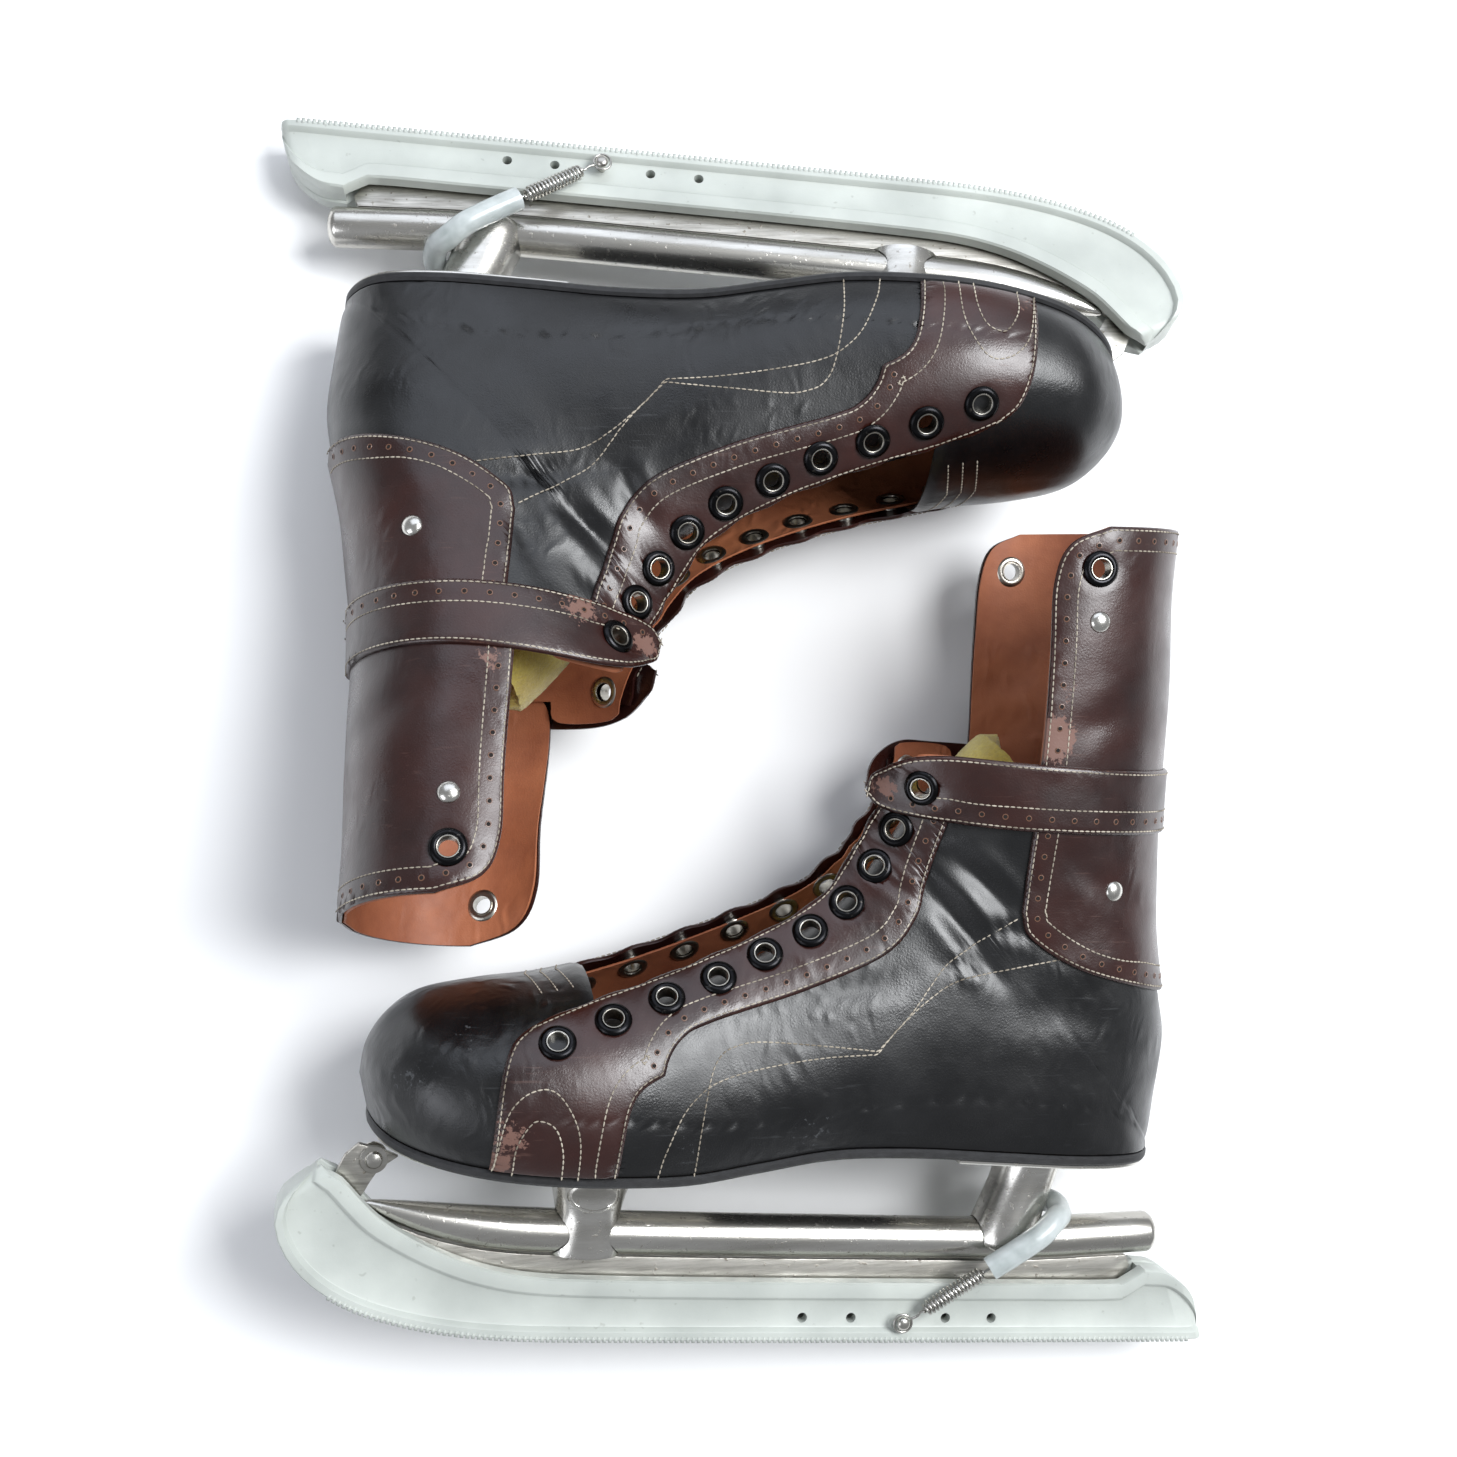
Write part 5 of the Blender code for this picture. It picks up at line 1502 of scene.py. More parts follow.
def makeBack(foot):  # counter and cuff are one tall piece of leather, with a lining in its upper half
    boot = boots[foot]
    runs = [counterLower, counterFront, cuffFront, cuffTop]
    ring = aroundHeel(boot, runs, True, None)
    holes = [(spotOn(boot, *cuffEyelet, side, True), 4.0) for side in (1, -1)]
    piece = panel(foot + "_back_leather", foot, ring, layers["brown"], brownLeather, holes,
                  rubs=rubs[foot]["back"])
    flexing(piece, foot, "brown_leather", foot + "_counter", foot + "_cuff")
    runs = [[("back", 190.0), (86.0, 190.0)], [(86.0, 190.0)] + cuffFront[1:], cuffTop]
    ring = aroundHeel(boot, runs, True, None)
    piece = panel(foot + "_cuff_lining_leather", foot, ring, layers["cuffLining"], liningLeather, holes,
                  spacing=(1.6, 2.6), lightEdge=2.0)
    flexing(piece, foot, "lining_leather", foot + "_cuff_lining")


def makeStrap(foot):
    boot = boots[foot]
    holes = [(spotOn(boot, *strapEyelet, side), 4.0) for side in (1, -1)]
    piece = panel(foot + "_strap_leather", foot, aroundHeel(boot, [strapLower, strapUpper], False, None),
                  layers["strap"], brownLeather, holes, rubs=rubs[foot]["strap"])
    placePiece(piece, foot + "_skate", "brown_leather", foot + "_ankle_strap")


def makeSeams(foot):
    boot = boots[foot]
    brown, strapTop = layers["brown"][1], layers["strap"][1]
    bootRows, backRows, bootMarks, backMarks = [], [], [], []
    for side in (1, -1):
        for runs in quarterSeams:
            bootRows.append((path(boot, runs, 1.2, side), 0.0))
        for line in archSeams:
            bootRows.append((path(boot, [line], 1.2, side), brown))
        lower = path(boot, [facingLower, facingFoot], 1.2, side)
        for row in ("first", "second"):
            bootRows.append((trimmed(shifted(boot, lower, -edgeRows[row]), 4, 1), brown))
        bootMarks.append((evenly(boot, trimmed(shifted(boot, lower, -edgeRows["holes"]), 6, 26),
                                 punch["pitch"]), brown))
        bootRows.append((trimmed(shifted(boot, path(boot, [throat], 1.2, side), -1.5), 0, 8), brown))
        bootRows.append((shifted(boot, path(boot, [facingFront], 1.2, side), -1.4), brown))
        lower = path(boot, [strapLower], 1.2, side)
        bootRows.append((shifted(boot, lower, -edgeRows["first"]), strapTop))
        bootRows.append((trimmed(shifted(boot, lower, -edgeRows["second"]), 0, 14), strapTop))
        bootMarks.append((evenly(boot, trimmed(shifted(boot, lower, -edgeRows["holes"]), 2, 3),
                                 punch["pitch"]), strapTop))
        bootRows.append((shifted(boot, path(boot, [strapUpper], 1.2, side), -edgeRows["first"]), strapTop))
        edge = path(boot, [counterLower, counterFront, cuffFront, cuffTop], 1.2, side, True)
        for row in ("first", "second"):
            backRows.append((trimmed(shifted(boot, edge, -edgeRows[row]), 1, 1), brown))
        backMarks.append((evenly(boot, trimmed(shifted(boot, edge, -edgeRows["holes"]), 2, 2),
                                 punch["pitch"]), brown))
    for u in (4.7, 4.95, 5.2):  # three short rows that close the vamp's throat
        h = np.concatenate([np.linspace(0.86, 1, 8), np.linspace(1, 0.86, 8)[1:]])
        side = np.concatenate([np.ones(8), -np.ones(7)])
        bootRows.append(((u + 0.15 * (1 - h) * 7, h, side), 0.0))
    pitch = stitchSize["pitch"]
    piece = sewAlong(foot + "_boot_stitches", foot, bootRows, stitch, pitch, thread, unevenness=0.06)
    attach(piece, foot + "_skate")
    piece = sewAlong(foot + "_back_stitches", foot, backRows, stitch, pitch, thread, unevenness=0.06)
    flexing(piece, foot, "brown_leather")
    for name, spots in (("boot", bootMarks), ("back", backMarks)):
        # painted shade: the dark discs stand in for the shadow inside each punched hole; the rims are the
        # leather's own colour
        dark = setAt(foot + "_" + name + "_punched_holes", foot, spots, holeItem, holeShade)
        light = setAt(foot + "_" + name + "_punched_rims", foot, spots, rimItem, brownLeather)
        for piece in (dark, light):
            if name == "boot":
                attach(piece, foot + "_skate")
            else:
                flexing(piece, foot, "brown_leather")


def makeEyelets(foot):
    boot = boots[foot]
    brown, strapTop = layers["brown"][1], layers["strap"][1]
    for word, side in (("lateral", boot.outward), ("medial", -boot.outward)):
        row = [(spotOn(boot, x, z, side), brown) for x, z in eyeletSpots]
        for name, item, look in (("rings", eyeletItem, japannedBrass), ("rims", eyeletRim, wornRim),
                                 ("backs", backWasher, wornRim)):
            spots = row + [(spotOn(boot, *strapEyelet, side), strapTop if name != "backs" else brown)]
            piece = setAt(foot + "_eyelet_" + name + "_" + word, foot, spots, item, look)
            placePiece(piece, foot + "_skate", "eyelet_metal", foot + "_eyelets_" + word)
        top = [(spotOn(boot, *cuffEyelet, side, True), brown)]
        for name, item, look in (("ring", eyeletItem, japannedBrass), ("rim", eyeletRim, wornRim),
                                 ("back", cuffWasher, wornRim)):
            piece = setAt(foot + "_cuff_eyelet_" + name + "_" + word, foot, top, item, look)
            placePiece(piece, foot + "_cuff_body", "eyelet_metal", foot + "_cuff_eyelet_" + word)
        piece = setAt(foot + "_cuff_rivet_" + word, foot, [(spotOn(boot, *cuffStud, side, True), brown)],
                      studItem,
                      nickelPlate)
        placePiece(piece, foot + "_cuff_body", "rivet_metal", foot + "_cuff_stud_" + word)
        piece = setAt(foot + "_counter_rivet_" + word, foot, [(spotOn(boot, *counterStud, side), brown)],
                      studItem,
                      nickelPlate)
        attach(piece, foot + "_skate")


tongueLine = [(222.0, 112.5), (205.0, 119.0), (185.0, 127.5), (165.0, 137.5), (150.0, 147.5),
              (140.0, 158.0),
              (131.0, 172.0), (121.0, 188.0), (112.0, 201.0), (104.0, 211.0), (96.5, 218.0), (87.5, 219.5)]


def tongueSheet(name, foot, top, thick, reach, wide, material, rough):
    line = smoothLine(tongueLine, 3.0)
    line = line[:int(len(line) * reach)]
    across = np.linspace(-1, 1, 31)
    ahead = np.gradient(line, axis=0)
    ahead /= np.linalg.norm(ahead, axis=1)[:, None]
    up = np.stack([ahead[:, 1], -ahead[:, 0]], 1)
    up *= np.sign(up.sum(1))[:, None]
    share = np.linspace(0, 1, len(line))
    half = (20.0 + 6.0 * np.sin(np.pi * np.minimum(share * 1.3, 1.0))) * wide
    half *= np.sqrt(np.clip(1 - np.clip((share - 0.86) / 0.145, 0, 1) ** 2, 0.02, 1))
    noise = np.random.default_rng(3)
    loops = []
    for lift in (0.0, -thick):
        rows = []
        for k, point in enumerate(line):
            pillow = thick * 0.32 * (1 - across ** 8) * (1 if lift == 0 else -1)
            curl = 16.5 - 9.0 * min(1.0, max(0.0, (share[k] - 0.72) / 0.2))
            drop = top + 10.0 + curl * across ** 2 - lift - pillow
            spot = point[None] - up[k][None] * drop[:, None]
            spot = spot + noise.normal(0, rough, spot.shape)
            rows.append(np.stack([spot[:, 0], across * half[k], spot[:, 1]], 1))
        loops.append(np.vstack(rows))
    rows, columns, count = len(line), len(across), len(loops[0])
    faces = []
    for i in range(rows - 1):
        for j in range(columns - 1):
            a, b = i * columns + j, i * columns + j + 1
            faces += [(a, b, b + columns, a + columns),
                      (count + a, count + a + columns, count + b + columns, count + b)]
    rim = [(0, j) for j in range(columns)] + [(i, columns - 1) for i in range(1, rows)]
    rim += [(rows - 1, j) for j in range(columns - 2, -1, -1)] + [(i, 0) for i in range(rows - 2, -1, -1)]
    for (i, j), (m, n) in zip(rim, rim[1:]):
        a, b = i * columns + j, m * columns + n
        faces.append((a, b, count + b, count + a))
    away = np.tile(np.minimum((1 - np.abs(across)) * 24.0, 20.0), rows)
    values = {"edge": np.concatenate([away, away]), "rub": np.zeros(2 * count)}
    return buildMesh(name, foot, np.vstack(loops), faces, material, values)


def makeTongue(foot):
    piece = tongueSheet(foot + "_tongue_felt", foot, 1.6, 3.0, 1.0, 1.0, felt, 0.10)
    placePiece(piece, foot + "_tongue_body", "felt", foot + "_tongue")
    piece = tongueSheet(foot + "_tongue_leather", foot, 0.1, 1.2, 0.80, 0.97, blackLeather, 0.0)
    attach(piece, foot + "_tongue_body")


for foot in ("left", "right"):
    makeVamp(foot)
    makeFacings(foot)
    makeQuarter(foot)
    makeBoot(foot)
    makeBack(foot)
    makeStrap(foot)
    makeSeams(foot)
    makeEyelets(foot)
    makeTongue(foot)
    print(foot, "upper made")


# soles, plates and the metal frame

tube = {"line": [(11, 34.5), (30, 33.2), (52, 31.8), (80, 31.3), (120, 31.3), (160, 31.3), (200, 31.5),
                 (240, 32.3)],
        "radius": 7.2, "nose": [(262, 34.6, 5.8), (276, 37.2, 3.9), (286.5, 39.6, 1.8)], "sides": 40}


# through rings of equally many points, closed at the ends
def loftMesh(name, foot, loops, material, smooth=35):
    sides = len(loops[0])
    points = np.vstack(loops)
    faces = []
    for i in range(len(loops) - 1):
        for k in range(sides):
            a, b = i * sides + k, i * sides + (k + 1) % sides
            faces.append((a, b, b + sides, a + sides))
    last = (len(loops) - 1) * sides
    for start in (0, last):
        ring = [start + k for k in range(sides)]
        flat = geometry.tessellate_polygon([[Vector(points[k]) for k in ring]])
        faces += [tuple(ring[k] for k in triangle) for triangle in flat]
    return buildMesh(name, foot, points, faces, material, smooth=smooth)


def ringAt(centre, radius, along, sides, squash=1.0):
    along = np.array([along[0], 0.0, along[1]]) / math.hypot(*along)
    across = np.array([0.0, 1.0, 0.0])
    up = np.cross(along, across)
    angle = np.linspace(0, 2 * np.pi, sides, endpoint=False)[:, None]
    return np.array([centre[0], 0.0, centre[1]]) + radius * (np.cos(angle) * across + squash
                                                             * np.sin(angle) * up)


def tubeRings(extra=0.0):
    flat = smoothLine([(x, z, tube["radius"]) for x, z in tube["line"]] + tube["nose"], 6.0)
    ahead = np.gradient(flat[:, :2], axis=0)
    rings = []
    if not extra:
        x, z = tube["line"][0]
        for back, share in ((3.3, 0.03), (3.2, 0.40), (2.8, 0.66), (2.0, 0.85), (1.0, 0.96)):
            rings.append(ringAt((x - back, z + 0.06 * back), tube["radius"] * share, (1, -0.07),
                                tube["sides"]))
    rings += [ringAt(row[:2], row[2] + extra, way, tube["sides"]) for row, way in zip(flat, ahead)]
    if not extra:
        x, z, radius = tube["nose"][-1]
        rings.append(ringAt((x + 1.6, z + 0.5), radius * 0.5, (1, 0.3), tube["sides"]))
    return rings


def slabMesh(name, foot, start, end, inset, top, thick, material, widest=99.0, edge=0.4):
    boot = boots[foot]
    xs = start + (end - start) * (1 - np.cos(np.pi * np.linspace(0, 1, 90))) / 2
    half = np.clip(np.minimum(boot.soleLine(xs, 4) - inset, widest), 0.8, None)
    middle, z = boot.soleLine(xs, 7), boot.soleLine(np.clip(xs, 18.0, 289.5), 1) - top
    loops = []
    for x, w, y, level in zip(xs, half, middle, z):
        bevel = min(edge, w * 0.4)
        profile = [(w - bevel, 0), (w, -bevel), (w, -thick + bevel), (w - bevel, -thick)]
        profile = profile + [(-a, b) for a, b in reversed(profile)]
        loops.append(np.array([(x, y + a, level + b) for a, b in profile]))
    return loftMesh(name, foot, loops, material)


def sheetMesh(name, foot, outline, thick, material, bevel=0.3, middle=0.0):
    work = bmesh.new()
    near = [work.verts.new(p) for p in toWorld(foot, [(x, middle - thick / 2, z) for x, z in outline])]
    face = work.faces.new(near)
    made = bmesh.ops.extrude_face_region(work, geom=[face])
    turn = frames[foot][0]
    shift = turn @ Vector((0, thick * mm, 0))
    bmesh.ops.translate(work, verts=[v for v in made["geom"] if isinstance(v, bmesh.types.BMVert)],
                        vec=shift)
    bmesh.ops.recalc_face_normals(work, faces=work.faces)
    if bevel:
        rims = [e for e in work.edges if len(e.link_faces) == 2 and e.calc_face_angle() > math.radians(50)]
        bmesh.ops.bevel(work, geom=rims, offset=bevel * mm, segments=2, profile=0.6, affect="EDGES")
    mesh = bpy.data.meshes.new(name)
    work.to_mesh(mesh)
    work.free()
    mesh.materials.append(material)
    mesh.shade_smooth()
    mesh.set_sharp_from_angle(angle=math.radians(30))
    piece = bpy.data.objects.new(name, mesh)
    bpy.context.scene.collection.objects.link(piece)
    return piece


def cutAway(piece, cutter):
    change = piece.modifiers.new("cut", "BOOLEAN")
    change.object, change.operation, change.solver = cutter, "DIFFERENCE", "EXACT"
    bpy.context.view_layer.update()
    graph = bpy.context.evaluated_depsgraph_get()
    mesh = bpy.data.meshes.new_from_object(piece.evaluated_get(graph))
    piece.modifiers.clear()
    piece.data = mesh
    bpy.data.objects.remove(cutter)
    mesh.shade_smooth()
    mesh.set_sharp_from_angle(angle=math.radians(35))


def makeSoles(foot):
    body = foot + "_skate"
    placePiece(slabMesh(foot + "_outsole_edge", foot, 17.7, 289.6, -0.7, 0.5, 3.2, soleRubber, edge=0.9),
               body,
               "sole", foot + "_outsole")
    placePiece(slabMesh(foot + "_insole_board", foot, 33.0, 278.0, 10.0, -3.2, 2.2, insoleBoard), body,
               "insole_board", foot + "_insole")
    placePiece(slabMesh(foot + "_heel_mounting", foot, 20.0, 96.0, 1.6, 3.75, 1.7, nickelPlate, edge=0.5),
               body,
               "nickel_plate", foot + "_heel_plate")
    placePiece(slabMesh(foot + "_ball_mounting", foot, 168.0, 286.0, 5.0, 3.75, 1.7, nickelPlate, 26.0,
                        0.5), body,
               "nickel_plate", foot + "_front_sole_plate")


def makeFrame(foot):
    boot, body, sides = boots[foot], foot + "_skate", tube["sides"]
    placePiece(loftMesh(foot + "_frame_tube", foot, tubeRings(), nickelPlate), body, "nickel_plate",
               foot + "_blade_tube")
    plateLow = 5.5
    heel, ball = float(boot.soleLine(58.0, 1)) - plateLow, float(boot.soleLine(214.0, 1)) - plateLow
    rear = [(66.9, 28.4, 10.2), (66.6, 29.4, 11.3), (66.2, 31.0, 11.7), (65.3, 35.0, 11.9),
            (63.5, 42.0, 11.3),
            (61.0, 50.0, 10.9), (58.6, heel - 6.0, 11.1), (57.8, heel - 2.8, 11.8),
            (57.2, heel - 1.4, 13.4),
            (57.0, heel - 0.6, 14.0), (57.0, heel - 0.1, 14.1)]
    rings = []
    for k, (x, z, radius) in enumerate(rear):
        lean = (-0.22, 1.0) if k < 7 else (0.0, 1.0)
        rings.append(ringAt((x, z), radius, lean, sides))
    piece = loftMesh(foot + "_rear_stanchion", foot, rings, nickelPlate)
    cutAway(piece, loftMesh("cutter", foot, tubeRings(0.35), nickelPlate))
    placePiece(piece, body, "nickel_plate", foot + "_rear_post")
    front = [(24.6, 8.2, 1.35), (25.0, 8.9, 1.4), (27.5, 9.2, 1.38), (31.0, 9.2, 1.3), (36.0, 9.3, 1.2),
             (39.5, 9.6, 1.15),
             (42.0, 10.1, 1.15), (46.0, 10.9, 1.15), (50.0, 11.7, 1.15), (ball - 3.2, 12.4, 1.15),
             (ball - 1.6, 13.0, 1.15),
             (ball - 0.6, 14.5, 1.15), (ball - 0.1, 14.8, 1.15)]
    piece = loftMesh(foot + "_front_stanchion", foot,
                     [ringAt((214.5, z), radius, (0.0, 1.0), sides, squash) for z, radius, squash in front],
                     nickelPlate)
    cutAway(piece, loftMesh("cutter", foot, tubeRings(0.35), nickelPlate))
    placePiece(piece, body, "nickel_plate", foot + "_front_post")
    under = tube["radius"] + 0.5
    top = [(17.5, 34.0 - under - 0.2)] + [(x, z - under - 0.2) for x, z in tube["line"][1:]]
    top += [(x, z - radius - 0.9) for x, z, radius in tube["nose"]] + [(289.6, 40.8)]
    edge = [(297.9, 38.8), (293.5, 30.5), (284, 20), (270, 12), (252, 7), (233, 4.9), (200, 4.2), (24, 4.2),
            (19.2, 15), (15.6, 22.5)]
    placePiece(sheetMesh(foot + "_blade_runner", foot,
                         [tuple(p) for p in np.vstack([smoothLine(top, 8.0), edge])],
                         3.2, groundSteel, 0.25), body, "blade_steel", foot + "_blade")
    strut = [(290.2, 41.8), (298.0, 39.8), (299.4, 47.0), (295.8, 56.0), (291.5, 60.0), (284.0, 58.2),
             (278.5, 56.0),
             (284.5, 51.6), (287.2, 47.0), (288.6, 44.0)]
    placePiece(sheetMesh(foot + "_toe_bracket", foot, strut, 3.0, groundSteel, 0.6), body, "blade_steel",
               foot + "_toe_strut")
    for name, y, sign in (("toe_fixing", 1.5, 1), ("toe_fixing_back", -1.5, -1)):
        rings = []
        for off, radius in ((0.2, 4.5), (0.9, 4.6), (1.2, 4.4), (1.25, 2.9), (2.0, 2.8), (2.6, 2.3),
                            (2.9, 1.2), (3.0, 0.4)):
            angle = np.linspace(0, 2 * np.pi, 28, endpoint=False)
            rings.append(np.stack([286.5 + radius * np.cos(angle), np.full(28, y + sign * off),
                                   55.2 + radius * np.sin(angle)], 1))
        piece = loftMesh(foot + "_" + name, foot, rings, nickelPlate)
        if sign == 1:
            placePiece(piece, body, "rivet_metal", foot + "_toe_rivet")
        else:
            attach(piece, body)
    for sign in (1, -1):  # a blank oval shield on each side of the front post
        rings = []
        for off, share in ((-1.4, 1.0), (0.15, 1.0), (0.42, 0.95), (0.42, 0.84), (0.2, 0.80), (0.2, 0.3),
                           (0.2, 0.02)):
            angle = np.linspace(0, 2 * np.pi, 36, endpoint=False)
            x, z = 8.8 * share * np.cos(angle), 5.4 * share * np.sin(angle)
            radius = 10.1 + 0.2 * (4.6 + z)
            rings.append(np.stack([214.5 + x, sign * (off + radius * np.sqrt(1 - (x / radius / 1.15) ** 2)),
                                   46.6 + z], 1))
        piece = loftMesh(foot + "_shield_" + ("left" if sign == 1 else "right"), foot, rings, nickelPlate)
        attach(piece, body)


# the blade guards

guardRows = [  # foot of the wall, top of the wall, depth of the slot from the top
    ((-12.9, -1.2), (-12.0, 3.0), 0.4), ((-11.6, -2.0), (-7.0, 14.0), 0.4),
             ((-6.0, -2.4), (3.0, 21.5), 0.6),
    ((9.0, -2.5), (12.6, 23.0), 1.0), ((12.5, -2.5), (14.5, 21.6), 18.5),
             ((18.0, -2.5), (20.5, 17.8), 14.4),
    ((60.0, -2.6), (60.0, 17.4), 14.4), ((110.0, -2.7), (110.0, 17.3), 14.4),
             ((160.0, -2.7), (160.0, 17.3), 14.4),
    ((205.0, -2.6), (205.0, 17.6), 14.4), ((235.0, -2.2), (232.0, 18.6), 15.0),
             ((256.0, -0.6), (249.0, 21.6), 16.5),
    ((274.0, 2.6), (262.0, 26.0), 17.5), ((290.0, 7.6), (273.5, 31.4), 17.5),
             ((303.0, 15.0), (283.5, 37.4), 16.5),
    ((312.0, 24.5), (291.0, 44.4), 14.0), ((316.3, 35.0), (296.0, 49.5), 10.5),
             ((314.0, 43.5), (300.0, 51.6), 7.0),
    ((308.0, 49.5), (303.0, 53.5), 1.5)]
drainHoles = {"x": (68.8, 85.9, 120.5, 138.0), "z": 4.6, "radius": 1.75}
springHook = (102.8, 4.4)
ribs = {"pitch": 1.9, "length": 1.1, "width": 1.9, "height": 0.7}


def guardStations():
    rows = [tuple(a) + tuple(b) + (c,) for a, b, c in guardRows]
    fine = [smoothLine(rows[:4], 2.0), ]
    fine.append(smoothLine(rows[4:9], 9.0)[:-1])
    fine.append(smoothLine(rows[8:], 6.0))
    return np.vstack(fine)


def guardRing(row):
    fx, fz, tx, tz, depth = row
    length = math.hypot(tx - fx, tz - fz)
    ux, uz = (tx - fx) / length, (tz - fz) / length
    wide = min(1.0, length / 20.0) ** 0.5
    slot = max(length - depth, 0.3)
    low = min(3.2, length * 0.25)
    steps = [(0.0, 8.1 * wide), (min(0.5, length * 0.05), 8.6 * wide),
             (low - min(0.4, length * 0.04), 8.6 * wide),
             (low, 8.3 * wide), (low + min(0.9, length * 0.05), 6.5 * wide),
             (low + min(1.3, length * 0.07), 6.3 * wide), (length - min(6.8, length * 0.42), 6.3 * wide),
             (length - min(6.3, length * 0.38), 6.6 * wide), (length - min(5.4, length * 0.33), 7.9 * wide),
             (length - min(4.9, length * 0.28), 8.1 * wide),
             (length - 0.6 * min(1, length / 10), 8.1 * wide),
             (length, 7.3 * wide), (length, 2.9), (length - 0.3, 2.6), (slot, 2.5)]
    right = [(fx + ux * d, y, fz + uz * d) for d, y in steps]
    return np.array(right + [(x, -y, z) for x, y, z in reversed(right)])


def makeGuard(foot):
    body = foot + "_guard_body"
    piece = loftMesh(foot + "_guard_channel", foot, [guardRing(row) for row in guardStations()],
                     guardPlastic, 40)
    work = bmesh.new()
    for x in drainHoles["x"] + (springHook[0],):
        turn = frames[foot][0].to_4x4() @ Matrix.Rotation(math.pi / 2, 4, "X")
        spot = Vector(toWorld(foot, [(x, 0.0, drainHoles["z"])])[0])
        radius = (drainHoles["radius"] if x != springHook[0] else 1.35) * mm
        bmesh.ops.create_cone(work, cap_ends=True, segments=20, radius1=radius, radius2=radius,
                              depth=24 * mm,
                              matrix=Matrix.Translation(spot) @ turn)
    mesh = bpy.data.meshes.new("drill")
    work.to_mesh(mesh)
    work.free()
    drill = bpy.data.objects.new("drill", mesh)
    bpy.context.scene.collection.objects.link(drill)
    cutAway(piece, drill)
    placePiece(piece, body, "guard_plastic", foot + "_guard")
    # moulded ribs along the foot's two edges
    rows = guardStations()
    rows = rows[(rows[:, 0] > -8) & (rows[:, 0] < 300)]
    verts, outs, fronts = [], [], []
    line = smoothLine(rows[:, :2], ribs["pitch"])
    run = np.concatenate([[0], np.cumsum(np.linalg.norm(np.diff(line, axis=0), axis=1))])
    want = np.arange(1.0, run[-1], ribs["pitch"])
    x, z = np.interp(want, run, line[:, 0]), np.interp(want, run, line[:, 1])
    slope = np.gradient(np.stack([x, z], 1), axis=0)
    slope /= np.linalg.norm(slope, axis=1)[:, None]
    for sign in (1, -1):
        for (a, b), (dx, dz) in zip(zip(x, z), slope):
            verts.append((a - dz * 0.4, sign * 8.3, b + dx * 0.4))
            outs.append((0.0, float(sign), 0.0))
            fronts.append((dx, 0.0, dz))
    values = {"Item": ribItem, "Size": 1.0, "Unevenness": 0.08, "Material": guardPlastic}
    piece = bake(holderFrom(foot, verts, outs, fronts), markTree, values, foot + "_guard_ribs")
    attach(piece, body)


def ribShape():
    bpy.ops.mesh.primitive_cube_add(size=1.0)
    made = bpy.context.object
    made.name = "ribItem"
    made.data.transform(Matrix.Diagonal((ribs["length"] * mm, ribs["width"] * mm, ribs["height"] * mm,
                                         1.0)))
    made.hide_render = True
    return made


ribItem = ribShape()


# springs and hoses

coil = {"start": 8.0, "end": 32.5, "radius": 2.4, "wire": 0.45, "turns": 17, "wall": 10.4, "spread": 0.125}
wireTree = bpy.data.node_groups.new("wireSweep", "GeometryNodeTree")
wireTree.interface.new_socket("Geometry", in_out="INPUT", socket_type="NodeSocketGeometry")
wireTree.interface.new_socket("Radius", in_out="INPUT", socket_type="NodeSocketFloat")
wireTree.interface.new_socket("Sides", in_out="INPUT", socket_type="NodeSocketInt")
wireTree.interface.new_socket("Material", in_out="INPUT", socket_type="NodeSocketMaterial")
wireTree.interface.new_socket("Geometry", in_out="OUTPUT", socket_type="NodeSocketGeometry")
given = addNode(wireTree, "NodeGroupInput")
core = addNode(wireTree, "GeometryNodeMeshToCurve", {"Mesh": given.outputs["Geometry"]})
ringShape = addNode(wireTree, "GeometryNodeCurvePrimitiveCircle", {"Resolution": given.outputs["Sides"],
                                                                   "Radius": given.outputs["Radius"]})
swept = addNode(wireTree, "GeometryNodeCurveToMesh",
                {"Curve": core.outputs[0], "Profile Curve": ringShape.outputs[0],
                                                      "Fill Caps": True})
real = addNode(wireTree, "GeometryNodeRealizeInstances", {0: swept.outputs[0]})
painted = addNode(wireTree, "GeometryNodeSetMaterial", {"Geometry": real.outputs[0],
                                                        "Material": given.outputs["Material"]})
wireOut = addNode(wireTree, "NodeGroupOutput")
wireTree.links.new(painted.outputs[0], wireOut.inputs[0])


def sweep(name, foot, points, radius, sides, material):
    mesh = bpy.data.meshes.new("holder")
    mesh.from_pydata([tuple(p) for p in toWorld(foot, points)],
                     [(k, k + 1) for k in range(len(points) - 1)], [])
    holder = bpy.data.objects.new("holder", mesh)
    bpy.context.scene.collection.objects.link(holder)
    piece = bake(holder, wireTree, {"Radius": radius * mm, "Sides": sides, "Material": material}, name)
    piece.data.set_sharp_from_angle(angle=math.radians(50))
    return piece


def springSpot(side, run, off=(0.0, 0.0)):  # off: across and up from the spring's own axis
    along = np.array([-0.8, side * coil["spread"], 0.6])
    along = along / np.linalg.norm(along)
    up = np.cross(along, [0.0, 1.0, 0.0])
    up /= np.linalg.norm(up)
    across = np.cross(up, along)
    spot = np.array([springHook[0] - 0.8 * run, side * (coil["wall"] + coil["spread"] * max(run, 0.0)),
                     springHook[1] + 0.6 * run])
    return spot + off[0] * across + off[1] * up


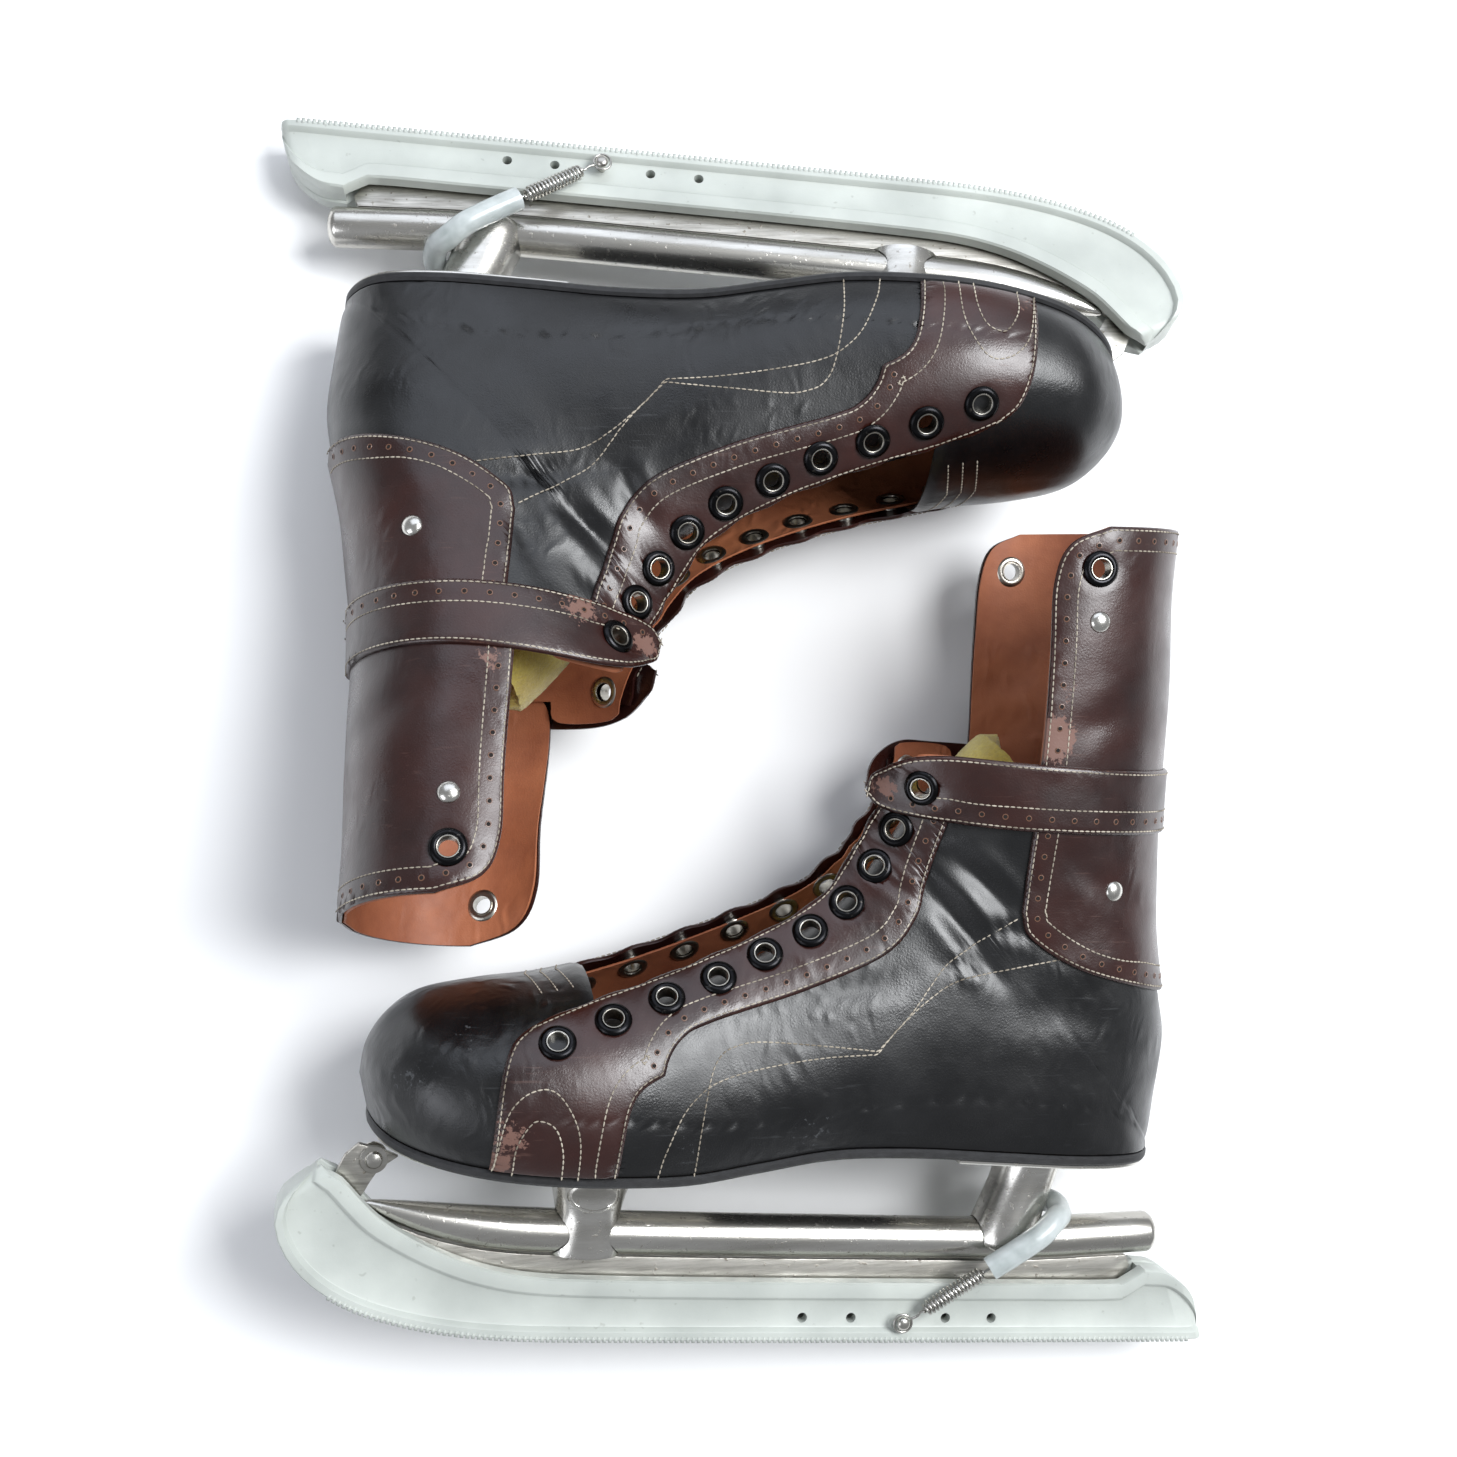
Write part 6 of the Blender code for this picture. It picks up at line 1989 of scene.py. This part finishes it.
def makeSprings(foot):
    for word, side in (("outer", 1), ("inner", -1)):
        count = coil["turns"] * 16
        t = np.linspace(0, 1, count + 1)
        angle = 2 * np.pi * coil["turns"] * t
        fade = np.clip(np.minimum(t, 1 - t) * 12, 0.0, 1.0) ** 0.5
        points = [springSpot(side, coil["start"] + (coil["end"] - coil["start"]) * a,
                             (coil["radius"] * f * math.cos(g), coil["radius"] * f * math.sin(g)))
                  for a, g, f in zip(t, angle, fade)]
        swing = np.linspace(0.0, 1.94 * np.pi, 30)
        eye = [springSpot(side, 3.1 * math.cos(g) - 0.2, (0.0, 3.1 * math.sin(g))) for g in swing]
        lead = smoothLine([eye[0], springSpot(side, 4.2, (0.0, 0.5)), springSpot(side, 5.6, (0.0, 0.5)),
                           springSpot(side, 7.0), points[0]], 0.7)
        turnIn, lead = np.array(eye[::-1]), np.array(lead)
        tail = [springSpot(side, 32.7), springSpot(side, 34.2), springSpot(side, 35.6)]
        whole = np.vstack([turnIn[:-1], lead[:-1], points, tail])
        piece = sweep(foot + "_spring_wire_" + word, foot, whole, coil["wire"], 8, springWire)
        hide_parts(foot + "_guard_spring_" + word)
        shank = [(coil["wall"] + 1.9, 0.3), (coil["wall"] + 1.8, 1.3), (coil["wall"] + 1.4, 2.0),
                 (coil["wall"] + 0.7, 2.35), (coil["wall"] + 0.6, 1.5), (6.4, 1.45)]
        angle = np.linspace(0, 2 * np.pi, 24, endpoint=False)
        rings = [np.stack([springHook[0] + r * np.cos(angle), np.full(24, side * y),
                           springHook[1] + r * np.sin(angle)], 1)
                 for y, r in shank]
        rivet = loftMesh(foot + "_spring_rivet_" + word, foot, rings, nickelPlate)
        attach(rivet, foot + "_guard_body")
        ends = toWorld(foot, [springSpot(side, 6.0), springSpot(side, 35.0)])
        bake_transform(piece)


def makeHose(foot):
    bend = [(34.9, 14.75), (38.5, 15.2), (42.0, 15.7), (50.0, 16.4), (57.0, 16.3), (64.0, 13.4)]
    half = [np.array([springHook[0] - 0.8 * run, y, springHook[1] + 0.6 * run]) for run, y in bend]
    half += [np.array([48.0, 8.2, 43.2]), np.array([46.4, 0.0, 44.0])]
    whole = half + [np.array([p[0], -p[1], p[2]]) for p in reversed(half[:-1])]
    piece = sweep(foot + "_hose_loop", foot, smoothLine(whole, 1.6), 4.15, 22, hoseVinyl)
    placePiece(piece, foot + "_hose_body", "hose_plastic", foot + "_guard_hose")


for foot in ("left", "right"):
    makeSoles(foot)
    makeFrame(foot)
    makeGuard(foot)
    makeSprings(foot)
    makeHose(foot)
    print(foot, "frame and guard made")

for item in (stitch, holeItem, rimItem, eyeletItem, eyeletRim, backWasher, cuffWasher, studItem, ribItem):
    bpy.data.objects.remove(item)


# floor, light and camera

def seamlessPaper():  # white backdrop paper, matt
    material, tree, shader = newMaterial("seamlessPaper", Roughness=0.9)
    spot = addNode(tree, "ShaderNodeTexCoord").outputs["Object"]
    tone = addNode(tree, "ShaderNodeTexNoise", {"Vector": spot, "Scale": 3.0})
    colour = addNode(tree, "ShaderNodeValToRGB", {"Fac": tone.outputs["Fac"]},
                     [(0.3, "#f2f2f2"), (0.7, "#f5f5f5")]).outputs[0]
    tree.links.new(colour, shader.inputs["Base Color"])
    return material


floorLow = float(min(cadBox[0][2], 0.0))
bpy.ops.mesh.primitive_plane_add(size=6.0, location=(0, 0, floorLow - 0.0002))
floor = bpy.context.object
floor.name = "floor"
floor.data.materials.append(seamlessPaper())


def addLamp(name, place, size, watts, colour, aim=(0.0, 0.0, 0.05)):
    lamp = bpy.data.lights.new(name, "AREA")
    lamp.shape, lamp.size, lamp.size_y = "RECTANGLE", size[0], size[1]
    lamp.energy, lamp.color = watts, hexColour(colour)[:3]
    holder = bpy.data.objects.new(name, lamp)
    holder.location = place
    holder.rotation_euler = (Vector(place) - Vector(aim)).to_track_quat("Z", "Y").to_euler()
    bpy.context.scene.collection.objects.link(holder)
    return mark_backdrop(holder)


addLamp("window", (0.8, 0.32, 1.55), (0.9, 0.9), 42.0, "#fbfdff")
addLamp("skylight", (-0.15, 1.3, 1.15), (2.0, 1.2), 11.0, "#e9f1ff")
addLamp("fill", (-1.2, -0.6, 0.9), (0.8, 0.8), 6.0, "#f4f7ff")

world = bpy.data.worlds.new("softRoom")
world.use_nodes = True
world.node_tree.nodes["Background"].inputs["Color"].default_value = hexColour("#f4f7fc")
world.node_tree.nodes["Background"].inputs["Strength"].default_value = 0.36
bpy.context.scene.world = world
bpy.context.scene.view_settings.view_transform = "Standard"

lens = bpy.data.cameras.new("camera")
lens.lens, lens.sensor_width = 45.5, 36.0
lens.clip_start = 0.01
camera = bpy.data.objects.new("camera", lens)
camera.matrix_world = (Matrix.Translation((-0.1103, -0.05615,
                                           0.6744)) @ Matrix.Rotation(math.radians(-9.173), 4, "Y")
                       @ Matrix.Rotation(math.radians(4.971), 4, "X"))
bpy.context.scene.collection.objects.link(camera)
bpy.context.scene.camera = camera

bpy.context.view_layer.update()
print("stage set")
